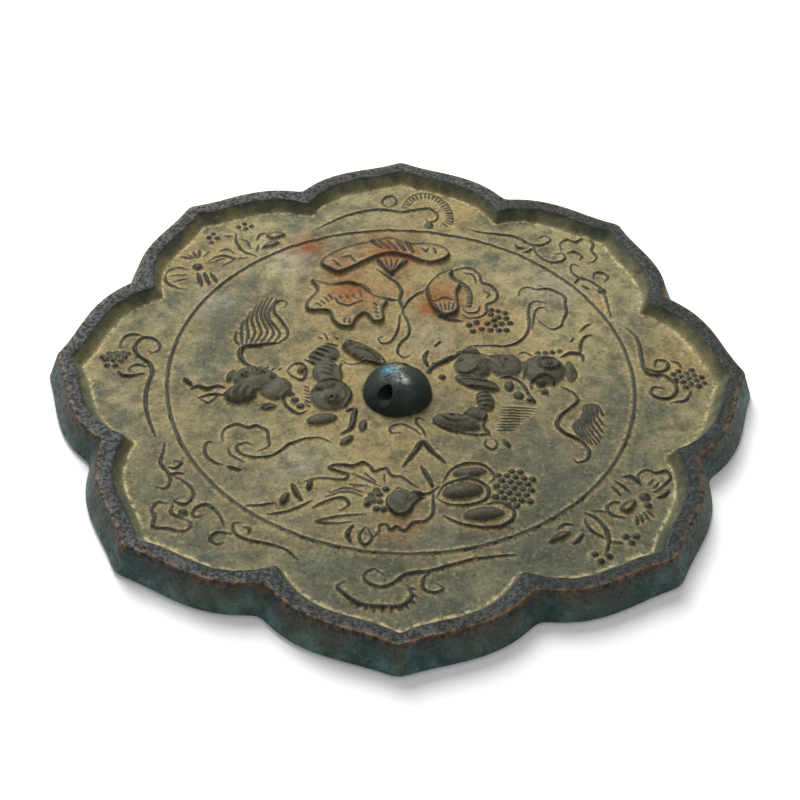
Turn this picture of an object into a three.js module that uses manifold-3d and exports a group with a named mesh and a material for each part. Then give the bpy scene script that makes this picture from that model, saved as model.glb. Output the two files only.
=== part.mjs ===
// Cast bronze mirror in the eight-lobed water-chestnut form, lying on its reflecting face.
// A single casting: a shallow dish with a raised scalloped rim, a thin round border line,
// a pierced knob for the cord, and low figures of two beasts, flowers, clouds and grapes.
// Millimetres, +Z up, the reflecting face on z = 0.
import * as THREE from 'three';
import { mergeVertices } from 'three/addons/utils/BufferGeometryUtils.js';
import Module from 'manifold-3d';

// Bearing of each lobe's point in degrees, and how far it reaches past or short of the even
// outline in millimetres: the mould was cut by hand, so the eight lobes are not quite alike.
const LOBE_POINTS = [[-0.6, 0.3], [44.2, -1.6], [90.2, 0.9], [133.7, 0.4], [180.2, 0], [224.7, 0.2],
  [269.7, -0.2], [314.7, 0]];
const LOBES = LOBE_POINTS.length;
// Where the corners of half a lobe lie, from its point (0) to the notch (1), closer at both ends.
const HALF_LOBE_STEPS = [0, 0.1, 0.3, 0.55, 0.75, 0.9];
const CREST_HEIGHT = 11;
const FIELD_HEIGHT = 6;
const FOOT_ROUNDING = 1.6;

// Each outline is a ring of bracket-shaped lobes: its radius in the notches, how far a lobe's
// shoulders stand out, how far the point stands out beyond them, and how blunt its corners are.
const WALL = { notch: 110, lobe: 7.8, point: 4, blunt: 0.06 };
const CREST = { notch: 105, lobe: 8.2, point: 4.8, blunt: 0.04 };
const BAND = { notch: 97, lobe: 11.4, point: 4.6, blunt: 0.02 };
const FIELD = { notch: 93.5, lobe: 10.8, point: 4.8, blunt: 0.02 };
const SHOULDER_POWER = 3.5;
const POINT_FADE = 6;
const BAND_DROP = 0.5;

const BORDER_RADIUS = 80.3;
const BORDER_WIDTH = 1.9;
const BORDER_HEIGHT = 0.8;
const BORDER_STEPS = 48;

// The knob stands a little to one side of the middle, as it was cast.
const KNOB = { x: -1.4, y: -9.7, radius: 11.7, height: 9.4 };
const CORD_HOLE = { width: 5.2, height: 4.7, corner: 1, middle: 5.9 };
const KNOB_STEPS = 24;
const HOLE_BEARING = THREE.MathUtils.degToRad(31);

// Relief: a line is a tapered ridge, and everything is rooted a little way into the field.
const ROOT = 0.5;
const STEPS_PER_SPAN = 1;
const FINE = { width: 1.1, height: 0.7 };
const LINE = { width: 1.5, height: 0.9 };
const BOLD = { width: 2.3, height: 1.2 };
const BEAD_SIDES = 4;

const wasm = await Module();
wasm.setup();

/** A closed mesh as a solid that can be joined and cut; triangles flattened at a pole are left out. */
function solid(geometry) {
  const bare = geometry.clone();
  bare.deleteAttribute('normal');
  bare.deleteAttribute('uv');
  const merged = mergeVertices(bare, 1e-4);
  const index = merged.index.array;
  const triangles = [];
  for (let i = 0; i < index.length; i += 3) {
    const [a, b, c] = index.slice(i, i + 3);
    if (a !== b && b !== c && c !== a) triangles.push(a, b, c);
  }
  return new wasm.Manifold(new wasm.Mesh({
    numProp: 3,
    vertProperties: new Float32Array(merged.attributes.position.array),
    triVerts: new Uint32Array(triangles),
  }));
}

/** The solid's surface as a flat-shaded geometry. */
function surface(manifold) {
  const mesh = manifold.getMesh();
  const geometry = new THREE.BufferGeometry();
  geometry.setAttribute('position', new THREE.BufferAttribute(new Float32Array(mesh.vertProperties), 3));
  geometry.setIndex(new THREE.BufferAttribute(new Uint32Array(mesh.triVerts), 1));
  geometry.computeVertexNormals();
  return geometry;
}

/** A geometry from a list of [x, y, z] corners and a list of [a, b, c] triangles. */
function body(corners, triangles) {
  const geometry = new THREE.BufferGeometry();
  geometry.setAttribute('position', new THREE.Float32BufferAttribute(corners.flat(), 3));
  geometry.setIndex(triangles.flat());
  return geometry;
}

/** A closed body through rings of the same number of corners, listed from the bottom up. */
function loft(rings) {
  const count = rings[0].length;
  const corners = rings.flat();
  const triangles = [];
  for (let ring = 0; ring < rings.length - 1; ring += 1) {
    for (let i = 0; i < count; i += 1) {
      const a = ring * count + i;
      const b = ring * count + (i + 1) % count;
      triangles.push([a, b, b + count], [a, b + count, a + count]);
    }
  }
  const top = (rings.length - 1) * count;
  const cap = THREE.ShapeUtils.triangulateShape(
    rings[rings.length - 1].map(([x, y]) => new THREE.Vector2(x, y)), []);
  for (const [a, b, c] of cap) triangles.push([top + a, top + b, top + c]);
  const base = THREE.ShapeUtils.triangulateShape(rings[0].map(([x, y]) => new THREE.Vector2(x, y)), []);
  for (const [a, b, c] of base) triangles.push([a, c, b]);
  return body(corners, triangles);
}

/** Radius of an even lobed outline, from a lobe's point (turn 0) to the notch (turn 1). */
function lobeRadius({ notch, lobe, point, blunt }, turn) {
  const fromPoint = Math.hypot(turn, blunt) - blunt;
  const fromNotch = Math.hypot(1 - turn, blunt) - blunt;
  return notch + lobe * (1 - (1 - fromNotch) ** SHOULDER_POWER) + point * Math.exp(-POINT_FADE * fromPoint);
}

/** One ring of corners on a lobed outline, moved in or out by offset, at height z. */
function lobedRing(outline, offset, z) {
  const falling = HALF_LOBE_STEPS.slice(1).map((turn) => 2 - turn).reverse();
  const ring = [];
  LOBE_POINTS.forEach(([bearing, reach], i) => {
    const [nextBearing, nextReach] = LOBE_POINTS[(i + 1) % LOBES];
    const gap = (nextBearing - bearing + 360) % 360;
    for (const turn of [...HALF_LOBE_STEPS, 1, ...falling]) {
      const share = turn / 2;
      const angle = THREE.MathUtils.degToRad(bearing + gap * share);
      const radius = lobeRadius(outline, Math.min(turn, 2 - turn))
        + offset + reach + (nextReach - reach) * share;
      ring.push([radius * Math.cos(angle), radius * Math.sin(angle), z]);
    }
  });
  return ring;
}

/** The dish: reflecting face, wall, flat band on the rim, inner slope and sunken field. */
function dish() {
  return loft([
    lobedRing(WALL, -FOOT_ROUNDING, 0),
    lobedRing(WALL, 0, FOOT_ROUNDING),
    lobedRing(CREST, 0, CREST_HEIGHT),
    lobedRing(BAND, 0, CREST_HEIGHT - BAND_DROP),
    lobedRing(FIELD, 0, FIELD_HEIGHT),
  ]);
}

/** The thin raised circle between the middle of the field and the lobes. */
function border() {
  const profile = [
    [BORDER_RADIUS - BORDER_WIDTH / 2, FIELD_HEIGHT - ROOT],
    [BORDER_RADIUS + BORDER_WIDTH / 2, FIELD_HEIGHT - ROOT],
    [BORDER_RADIUS, FIELD_HEIGHT + BORDER_HEIGHT],
    [BORDER_RADIUS - BORDER_WIDTH / 2, FIELD_HEIGHT - ROOT],
  ].map(([radius, z]) => new THREE.Vector2(radius, z));
  return new THREE.LatheGeometry(profile, BORDER_STEPS).rotateX(Math.PI / 2);
}

/** The knob: an upright half ellipsoid rooted in the field. */
function knob() {
  const steps = 5;
  const profile = [new THREE.Vector2(0, -ROOT * 2), new THREE.Vector2(KNOB.radius, -ROOT * 2)];
  for (let i = 0; i < steps; i += 1) {
    const rise = i / steps * Math.PI / 2;
    profile.push(new THREE.Vector2(KNOB.radius * Math.cos(rise), KNOB.height * Math.sin(rise)));
  }
  profile.push(new THREE.Vector2(0, KNOB.height));
  return new THREE.LatheGeometry(profile, KNOB_STEPS)
    .rotateX(Math.PI / 2)
    .translate(KNOB.x, KNOB.y, FIELD_HEIGHT);
}

/** The cord hole: a bar of rounded square section that runs level through the knob. */
function cordHole() {
  const { width, height, corner, middle } = CORD_HOLE;
  const [right, top] = [width / 2, height / 2];
  const section = new THREE.Shape()
    .moveTo(-right + corner, -top)
    .lineTo(right - corner, -top)
    .quadraticCurveTo(right, -top, right, -top + corner)
    .lineTo(right, top - corner)
    .quadraticCurveTo(right, top, right - corner, top)
    .lineTo(-right + corner, top)
    .quadraticCurveTo(-right, top, -right, top - corner)
    .lineTo(-right, -top + corner)
    .quadraticCurveTo(-right, -top, -right + corner, -top);
  const length = KNOB.radius * 2 + 4;
  return new THREE.ExtrudeGeometry(section, { depth: length, bevelEnabled: false, curveSegments: 3 })
    .translate(0, 0, -length / 2)
    .rotateX(Math.PI / 2)
    .rotateZ(-HOLE_BEARING)
    .translate(KNOB.x, KNOB.y, FIELD_HEIGHT + middle);
}

/** A raised line along a smooth path, thinner and lower towards both ends. */
function line({ width, height }, points) {
  const path = new THREE.CatmullRomCurve3(points.map(([x, y]) => new THREE.Vector3(x, y, 0)),
    false, 'centripetal');
  const count = (points.length - 1) * (points.length > 2 ? STEPS_PER_SPAN : 1);
  const corners = [];
  const triangles = [];
  for (let i = 0; i <= count; i += 1) {
    const spot = path.getPoint(i / count);
    const along = path.getTangent(i / count);
    const size = 0.3 + 0.7 * Math.sqrt(Math.sin(Math.PI * (i / count)));
    const side = width / 2 * size;
    corners.push([spot.x + along.y * side, spot.y - along.x * side, FIELD_HEIGHT - ROOT]);
    corners.push([spot.x, spot.y, FIELD_HEIGHT + height * size]);
    corners.push([spot.x - along.y * side, spot.y + along.x * side, FIELD_HEIGHT - ROOT]);
  }
  for (let i = 0; i < count; i += 1) {
    for (let k = 0; k < 3; k += 1) {
      const a = i * 3 + k;
      const b = i * 3 + (k + 1) % 3;
      triangles.push([a, a + 3, b + 3], [a, b + 3, b]);
    }
  }
  const last = count * 3;
  triangles.push([0, 1, 2], [last, last + 2, last + 1]);
  return body(corners, triangles);
}

/** A raised lens: half an ellipsoid, long and wide across, turned by degrees. */
function dome(x, y, long, wide, turn, height) {
  return new THREE.SphereGeometry(1, 6, 4)
    .rotateX(Math.PI / 2)
    .scale(long / 2, wide / 2, height)
    .rotateZ(THREE.MathUtils.degToRad(turn))
    .translate(x, y, FIELD_HEIGHT);
}

/** A raised plate with a smooth outline and a sloped edge. */
function plate(height, inset, points) {
  const path = new THREE.CatmullRomCurve3(points.map(([x, y]) => new THREE.Vector3(x, y, 0)),
    true, 'centripetal');
  const count = points.length * STEPS_PER_SPAN;
  const foot = [];
  const top = [];
  for (let i = 0; i < count; i += 1) {
    const spot = path.getPoint(i / count);
    const along = path.getTangent(i / count);
    foot.push([spot.x, spot.y, FIELD_HEIGHT - ROOT]);
    top.push([spot.x - along.y * inset, spot.y + along.x * inset, FIELD_HEIGHT + height]);
  }
  return loft([foot, top]);
}

/** A round bead. */
function bead(x, y, radius = 1.1, height = 1.1) {
  return new THREE.ConeGeometry(radius * 1.3, height + ROOT, BEAD_SIDES)
    .rotateX(Math.PI / 2)
    .translate(x, y, FIELD_HEIGHT + (height - ROOT) / 2);
}

/** Beads packed in a honeycomb inside an ellipse: middle, half sizes and pitch. */
function cluster(x, y, halfX, halfY, turn, pitch, radius) {
  const beads = [];
  const angle = THREE.MathUtils.degToRad(turn);
  for (let row = -6; row <= 6; row += 1) {
    for (let column = -6; column <= 6; column += 1) {
      const u = (column + (row % 2 ? 0.5 : 0)) * pitch;
      const v = row * pitch * 0.87;
      if (Math.hypot(u / halfX, v / halfY) <= 1) {
        beads.push(bead(x + u * Math.cos(angle) - v * Math.sin(angle),
          y + u * Math.sin(angle) + v * Math.cos(angle), radius));
      }
    }
  }
  return beads;
}

/** Short lines side by side, from the pair of ends at the start to the pair at the finish. */
function comb(style, count, [start, startTip], [finish, finishTip]) {
  const mix = (a, b, t) => [a[0] + (b[0] - a[0]) * t, a[1] + (b[1] - a[1]) * t];
  return Array.from({ length: count }, (_, i) => {
    const t = i / (count - 1);
    return line(style, [mix(start, finish, t), mix(startTip, finishTip, t)]);
  });
}

/** Strands that fan from the first guide line to the last, through the middle one. */
function plume(count, first, middle, last) {
  return Array.from({ length: count }, (_, i) => {
    const t = i / (count - 1);
    const [a, b, c] = [(1 - t) * (1 - 2 * t), 4 * t * (1 - t), t * (2 * t - 1)];
    return line(FINE, first.map((_point, k) => [0, 1].map(
      (axis) => a * first[k][axis] + b * middle[k][axis] + c * last[k][axis])));
  });
}

/** The two crouching beasts that face each other across the knob. */
function beasts() {
  return [
    // left beast: hindquarters, thigh, waist, chest, head
    dome(-50, -5, 17, 13, -10, 1.9), dome(-54.5, -12.5, 12, 10, 20, 2.2),
    dome(-43, -9, 12, 12, 0, 1.3), dome(-24, -12, 15, 16, -20, 2.1),
    dome(-25.5, -1, 11, 13, 20, 1.4), dome(-14, 9.5, 17, 8, -34, 2.2), dome(-18, 13, 4, 4, 0, 2.6),
    dome(-26.5, -23.5, 11, 6, 15, 1.5), dome(-12.8, -26, 3, 6.5, -5, 1.2), dome(-18, -33, 6.5, 3.4, 50, 1.2),
    dome(-58.5, -3.5, 3, 7, -15, 1.2), dome(-73, -7, 5, 2.2, -45, 1.1),
    line(BOLD, [[-60, -9], [-63, -8.5], [-66, -10], [-69.5, -9], [-71.5, -10.5]]),
    line(LINE, [[-59, -13], [-64, -12.5], [-69, -14.5]]),
    line(BOLD, [[-18.5, -19], [-15.8, -18.3], [-16, -22], [-16.8, -27], [-20, -30]]),
    line(BOLD, [[-29.5, -7], [-27, -5.5], [-22, -5.5], [-18.5, -9], [-17.3, -13], [-19.5, -18]]),
    line(LINE, [[-21, 5], [-21.5, 0], [-20.5, -5]]),
    line(LINE, [[-39.5, 0], [-37.5, 3.2], [-34.5, 3.5], [-33, 0], [-34, -4.5], [-38, -2.5], [-39.5, 0]]),
    line(LINE, [[-38, -9.8], [-40, -13], [-38.5, -17.5], [-34, -21], [-31.5, -19]]),
    bead(-37.5, -11.8), bead(-36, -14.6), bead(-34, -17.3), bead(-28, -9.5, 1.4), bead(-24.5, -8.5, 1.4),
    bead(-23.5, -15, 1.9), bead(-49.5, -2.8, 1.6, 2.4), bead(-53.5, -4.3, 1.3, 2.2),
    ...comb(BOLD, 3, [[-34, 6], [-29.5, 3]], [[-27, 14.5], [-22.5, 13]]),
    line(BOLD, [[-51, 1], [-54.5, 3.5], [-56.3, 7.5], [-55.5, 11], [-50, 12.5], [-43.5, 14]]),
    // right beast: shoulders, middle, rump, muzzle
    dome(25, 4, 14, 14, 0, 2), dome(24.5, 10.5, 7, 5, -10, 2.4), dome(36, 5, 12, 11, -10, 1.4),
    dome(49.5, 3, 16, 16, 0, 1.8), dome(26, -4.5, 17, 7, -22, 1.6), dome(28.5, -13, 5.5, 11, 10, 1.3),
    dome(18.5, -24, 17, 8, -14, 2.2), dome(25, -20, 8, 6, -20, 1.9),
    line(BOLD, [[22, 11], [17, 8], [12, 4.5], [9, 1]]),
    line(LINE, [[9.3, 12], [8, 8], [9.2, 3.5]]),
    line(LINE, [[34, -1.2], [38, -1], [41.5, -4], [43.5, -9], [45.5, -12.5]]),
    dome(37, -5.5, 3.6, 5.4, 0, 1.1), dome(40, -10, 4, 4, 0, 1.1), dome(44, -12.3, 3.5, 2.4, -20, 1.1),
    line(BOLD, [[47.5, 7], [48, 3.5], [51.5, 2.2], [54.5, 4.5], [53.5, 7.8], [50.5, 8.3], [47.5, 7]]),
    bead(51, 5.3, 1.3, 2.6),
    line(LINE, [[44.5, -6.5], [45, -3], [48.5, -0.8], [52, -2], [52.5, -5]]), bead(48, -4.5, 1.4), bead(49, -8, 1.2),
    line(LINE, [[56, 10], [59.5, 12.3], [63.5, 11], [63.5, 8]]),
    line(LINE, [[63, 11.5], [63.5, 17], [65.5, 21], [68, 22.5]]),
    line(LINE, [[64, 24], [66.5, 27], [68.5, 28.3]]),
    line(FINE, [[58, 7], [60.2, 4], [60.5, 0], [59, -2.5]]),
    line(LINE, [[28.5, -20], [27.3, -24.5], [29.5, -29.5]]), dome(30, -33, 3.6, 5.4, 0, 1.1),
    dome(34.7, -32.5, 2.2, 4.8, 28, 1), bead(48, 11.8), bead(50.6, 12), bead(53.2, 12.4), bead(55.8, 13.2),
    ...comb(LINE, 4, [[34, -15.5], [45, -16]], [[31.5, -26.5], [37.5, -26]]),
    line(LINE, [[55, -5], [59, -8], [60, -11.5], [57, -15.5], [53.3, -19.5], [52, -23.5], [54.5, -27.5],
      [59.5, -31], [61.6, -35], [60.5, -39], [57.5, -40.5], [56.2, -38.6]]),
    // tails
    ...plume(3, [[-57, 12.5], [-58.7, 15.5], [-58.8, 18], [-58.5, 20]],
      [[-52.5, 13.5], [-51, 19], [-53, 28], [-51.5, 36]], [[-45, 14], [-43.3, 19], [-48, 29], [-45.5, 38]]),
    line(LINE, [[-43.5, 14], [-40.7, 17.5], [-40.7, 21], [-43.2, 26], [-46, 31], [-46, 35], [-44, 37.3],
      [-41.8, 36], [-42.5, 33.3]]),
    ...plume(3, [[62, -13.5], [61, -19], [57.5, -24], [60, -30]], [[64, -13], [63.5, -18], [62, -23], [65.5, -31]],
      [[66.5, -13.5], [67, -15], [67.3, -16.5], [68, -18.5]]),
  ];
}

/** The spray above the knob: a cap-shaped bloom, an open flower on the left, a bud on the right. */
function upperSpray() {
  return [
    plate(1.2, 0.9, [[-30.5, 58], [-26, 54], [-23.5, 52.8], [-15, 58.5], [-9.5, 62.8], [-3.5, 64.8], [2.5, 63.2],
      [8, 60.3], [14, 60.6], [18.3, 65], [16.5, 69.3], [9, 71.8], [3, 71.5], [-4, 74.5], [-12, 72],
      [-20, 68.8], [-27, 64]]),
    ...comb(BOLD, 4, [[-12.5, 72.5], [-7.5, 68]], [[1.5, 72], [4.5, 65.5]]),
    plate(1, 0.6, [[-9.5, 62], [-7.5, 57.5], [-4, 53.5], [-0.5, 57], [2.3, 62], [-3.5, 64]]),
    line(LINE, [[-9.5, 56.5], [-5, 52], [-1.5, 48], [0, 43.5], [-0.8, 39], [0.4, 34], [0.3, 31]]),
    line(LINE, [[0.4, 33.5], [2.5, 38.5], [5.5, 42.5], [9, 45]]), line(LINE, [[-1, 39], [-4, 39], [-7.5, 40.5]]),
    line(LINE, [[0.5, 32], [2.6, 25], [2.4, 20], [-0.6, 15], [-1.4, 10.5], [0.7, 8.2], [3, 9.3]]),
    line(LINE, [[-0.6, 31], [-1.5, 22], [-4, 16], [-7, 15], [-8.2, 17.6], [-6.3, 19]]),
    plate(1.1, 0.8, [[-33.5, 48.5], [-31.3, 43], [-34.8, 35.5], [-34, 31.2], [-26.5, 30.3], [-25, 26], [-22, 22.5],
      [-18, 22.5], [-15.6, 27.5], [-13.5, 30], [-9.8, 25.4], [-6.4, 26.5], [-6.6, 33], [-5.2, 37.5],
      [-10.5, 41], [-13, 45.8], [-19, 47], [-26, 46]]),
    line(BOLD, [[-25.5, 45.3], [-19, 46.3], [-14.5, 44.5], [-11.5, 41]]),
    line(LINE, [[-24.5, 38.5], [-22.5, 34.8], [-19.5, 34.2], [-14, 37]]),
    plate(1.4, 0.8, [[9, 45], [10, 37.5], [12, 32.5], [16, 29.5], [20.3, 32], [20.6, 38], [20.4, 43], [21.8, 47.5],
      [18.5, 51], [19, 55.5], [14.5, 53.5], [11, 49.5]]),
    line(LINE, [[18, 55.5], [21.5, 58], [25.5, 58.3], [28.8, 55], [29.8, 50], [33.3, 48.2], [35.2, 44], [34.2, 39.7],
      [31, 37.5], [30.6, 33], [27.5, 30.3], [23.8, 30.2], [21.5, 32.5]]),
    line(FINE, [[22, 35], [24, 32.8], [27.5, 33.6], [28.6, 37]]),
    line(BOLD, [[18.5, 53.5], [22, 50.5], [25, 46], [25.6, 41], [25, 36]]),
    line(BOLD, [[13, 30.5], [16, 28.8], [22, 28]]),
    ...cluster(31.5, 27.6, 9.5, 5.2, 26, 3.4, 1.35),
  ];
}

/** The flower below the knob, lying on its side with its seed head to the right. */
function lowerFlower() {
  return [
    line(FINE, [[-49, -62], [-44, -61.7], [-39.5, -60.5]]), dome(-36.8, -59, 3, 6, -20, 1.2),
    line(BOLD, [[-34.8, -52.5], [-33.5, -56], [-31.5, -59.5]]), line(BOLD, [[-29, -50.3], [-29.5, -55.3]]),
    line(LINE, [[-42, -65.3], [-37, -64.5], [-31, -61.5], [-28, -59]]),
    line(LINE, [[-31, -51.3], [-26, -49.7], [-18, -50], [-17.3, -47.8], [-21.5, -46.3], [-23.3, -45], [-20, -43.8],
      [-15.5, -44.2], [-12.5, -42.6], [-10.3, -44], [-8.8, -46.5], [-5, -45], [-3.3, -48], [0, -48.4],
      [3, -51.2], [5.5, -53]]),
    ...comb(FINE, 3, [[-17, -47], [-6.5, -52.5]], [[-19, -55], [-11.5, -57]]),
    line(LINE, [[-28, -62.5], [-24, -59.7], [-18.5, -58], [-16.5, -60.5], [-19.5, -63.5]]),
    line(LINE, [[-11, -64.5], [-18, -65.4], [-26.5, -68], [-20, -68.6], [-15, -67.6]]),
    line(BOLD, [[-15, -69], [-16.6, -72.5], [-15.6, -76]]),
    line(LINE, [[-11, -69.5], [-13, -73.5], [-11.3, -77], [-9.2, -74.5], [-10.5, -70]]),
    line(LINE, [[-8.7, -74], [-7, -71.5], [-6.6, -68.8], [-4.5, -68.6], [-3.5, -70.8], [-1.5, -69.3], [0.7, -71],
      [3.5, -67.8], [7.5, -66.8], [9.8, -63.5], [10, -58], [10.3, -54]]),
    ...cluster(-7.8, -58.5, 4.4, 5.3, 20, 3.1, 1.25),
    dome(0, -60, 9, 12, 0, 1.9), dome(3.5, -58, 8, 4.5, 40, 1.5),
    line(LINE, [[-1.5, -53], [1.5, -54.5], [5, -56.2], [9, -55], [12, -52]]),
    line(BOLD, [[6.3, -43.5], [8.3, -48], [10, -52.5]]),
    line(BOLD, [[0.5, -44], [4, -38], [7, -33], [10, -37], [14.3, -42]]),
    line(LINE, [[13.3, -50.5], [15.5, -45.8], [19.5, -42.7], [24.5, -42], [28.5, -44.3], [29.8, -48], [28.3, -50]]),
    dome(22, -46.2, 12, 4.6, 8, 1.3),
    line(LINE, [[11, -57], [14, -51.5], [19.5, -49], [24.5, -49.5], [27.8, -53], [26.5, -57.5], [21, -60], [15, -59.7],
      [11.5, -57.5]]),
    dome(19.5, -54.3, 14, 7.4, 12, 1.9),
    line(LINE, [[13, -64.5], [17.5, -67.3], [24, -69], [31, -68.3], [35.2, -64.5], [34.6, -60.5], [30.5, -58.5],
      [26, -59.8]]),
    dome(26, -63.7, 14, 6, 8, 1.6),
    ...cluster(36, -53, 7.2, 8.4, -8, 3.4, 1.35),
    line(LINE, [[0, -28.5], [-3.3, -28.8], [-3.8, -26.5], [-1, -24.8], [3, -26], [6.5, -29.5]]),
    line(LINE, [[8, -30.5], [7, -27], [5, -24], [5.4, -21.6], [7.8, -22.3]]),
  ];
}

/** The two curled clouds inside the border. */
function innerClouds() {
  return [
    line(LINE, [[43, 43], [44.2, 46.7], [47, 48], [50, 46.8], [53.5, 47.5], [57, 46], [60, 43], [59.8, 38.5], [60, 34.5],
      [58.4, 30], [57.3, 26.5], [54.3, 25], [51.5, 27], [49.5, 29.5]]),
    line(LINE, [[53, 39.3], [50, 40.3], [47.3, 39], [46, 34], [46, 28], [45.2, 23.5], [42.5, 18.5], [38.5, 15.6],
      [32, 15.2], [24, 15]]),
    line(FINE, [[53.5, 34.5], [51.8, 36.6], [49.3, 35.8], [47.8, 31], [46.8, 24.5]]),
    line(LINE, [[-58.5, -34.5], [-59, -31], [-57.8, -27.9], [-54.5, -26.4], [-50.8, -28], [-48, -27], [-44.5, -29.3],
      [-43.8, -32.5], [-43.3, -36], [-46.8, -38.6]]),
    line(LINE, [[-48, -35.8], [-51, -34.7], [-53.8, -36.5], [-52.4, -39.5], [-48, -41.2], [-43, -40.8], [-40, -38.5],
      [-36.5, -34.8], [-31, -32.3], [-26, -32.2], [-23, -33.8]]),
    line(LINE, [[-61.5, -34.8], [-63.5, -35.2], [-63.7, -40], [-61, -43.5], [-57.5, -45]]),
    line(FINE, [[-56.5, -36.8], [-55.7, -39.8], [-50.5, -43.8]]), line(BOLD, [[-56, -45.7], [-51.5, -47]]),
  ];
}

/** The comb-backed scrolls in the far and near lobes. */
function scrolls() {
  return [
    line(LINE, [[-33, 80.3], [-27, 85], [-20, 89.7], [-9, 93.3], [0, 92.2], [6, 93.7], [11, 94.6], [14, 91], [13, 87],
      [10.3, 86], [9.3, 88.5]]),
    line(FINE, [[1, 98], [4.5, 103.3], [10, 105], [15, 102], [18.3, 97], [19.8, 91], [20, 86], [16.8, 82.5]]),
    ...comb(FINE, 3, [[1.5, 98], [0, 95]], [[8.5, 104.8], [7.3, 101]]),
    ...comb(FINE, 3, [[12, 104.2], [10.5, 100.8]], [[19.3, 91], [17, 89.5]]),
    line(LINE, [[-5, 95.3], [-7.8, 97.5], [-6.3, 102], [-3.3, 102.2], [-2.3, 98], [-5, 95.3]]),
    dome(10.5, 83.8, 4, 4.6, 0, 0.8),
    line(LINE, [[35, -79.6], [25, -81], [15, -84.2], [8.5, -86.6], [1.5, -88], [-3, -91.8], [-6.5, -93], [-10.3, -91.2],
      [-11.2, -88.3], [-8.3, -86.3], [-5.5, -88.3]]),
    line(LINE, [[9, -86.8], [6.4, -90], [6.8, -93.5], [9.8, -94.8], [12.5, -93], [10.5, -91]]),
    line(BOLD, [[-16.8, -91], [-19, -93.2], [-17, -96], [-12.5, -99.3], [-6, -100.3], [0, -99.8], [3, -96.3], [1.8, -92]]),
    ...comb(FINE, 4, [[-4.5, -100.5], [-4, -103.5]], [[1.8, -93], [4.5, -93.5]]),
  ];
}

/** The blossom sprays in the back left lobe and the front right lobe. */
function sprays() {
  const blossom = (centreX, centreY) => [
    bead(centreX, centreY, 1.7, 1.1),
    ...comb(BOLD, 2, [[centreX + 0.3, centreY - 3], [centreX + 2.6, centreY - 11]],
      [[centreX + 5, centreY - 3], [centreX + 8, centreY - 8.5]]),
  ];
  return [
    ...blossom(-76, 55),
    line(LINE, [[-79, 53.7], [-84, 54.2], [-87.3, 51.5], [-86.5, 46], [-82.5, 43], [-78.5, 42.2]]),
    ...comb(FINE, 3, [[-79, 60], [-83, 61]], [[-76, 61], [-76.5, 65.5]]),
    line(LINE, [[-73, 57.3], [-70, 61], [-66, 62], [-63, 60], [-67, 56.3]]),
    line(LINE, [[-69, 65], [-66, 66], [-63.3, 64]]),
    line(LINE, [[-63.5, 76], [-63, 71], [-60, 65.5], [-54.5, 62]]), line(FINE, [[-62, 73], [-58.8, 71], [-57.3, 67]]),
    line(LINE, [[-55.5, 72], [-54, 76], [-51.8, 76.7]]),
    plate(0.8, 0.6, [[-52, 75], [-49.5, 72.5], [-44.5, 75.5], [-48.5, 77.2]]),
    plate(0.8, 0.6, [[-53, 67], [-48.5, 68.3], [-46.5, 71], [-50.5, 70.6]]),
    bead(-63, 80), bead(-60, 79), bead(-58, 80.7), bead(-73.5, 73), bead(-70.5, 72.5), bead(-72.3, 70),
    bead(77.5, -55.3, 1.6, 1.1), bead(78.2, -58.7, 1.2),
    line(LINE, [[77, -48.5], [76.5, -45.3], [79.5, -43.2], [82.5, -44.3], [85.8, -43.5], [87, -46], [84, -50], [80.5, -53]]),
    line(BOLD, [[81.5, -55.2], [84, -54], [85.8, -51.8]]), line(BOLD, [[71.5, -46.5], [74.3, -46.4], [77, -50]]),
    line(LINE, [[68.5, -48], [71, -50.5], [73, -53]]), line(LINE, [[67.3, -50.5], [70, -54.5]]),
    ...comb(FINE, 3, [[77.5, -60.5], [79.5, -63.3]], [[74, -63], [73.8, -67]]),
    plate(0.9, 0.6, [[74.5, -56.8], [71, -57.5], [69, -60.3], [70.8, -62], [73.3, -60]]),
    line(LINE, [[69.5, -57.3], [67, -57.4], [65, -60], [66, -62.5], [70.5, -64]]),
    line(BOLD, [[57.5, -62], [61, -64], [63.8, -69.5], [64, -74], [62.5, -79]]),
    line(LINE, [[57.3, -64.5], [58.8, -69], [63.5, -72.8]]),
    plate(0.8, 0.6, [[45.5, -74.5], [50.5, -73], [52.7, -70.2], [48.5, -71]]),
    line(LINE, [[48.5, -69], [51, -67], [53.7, -67.2]]), line(BOLD, [[56.5, -70.5], [55, -73], [53, -74.8]]),
    bead(69.7, -71.7), bead(73, -71.3), bead(71.2, -74), bead(59.3, -79), bead(63.7, -79.5), bead(60.9, -81.6),
  ];
}

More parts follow.
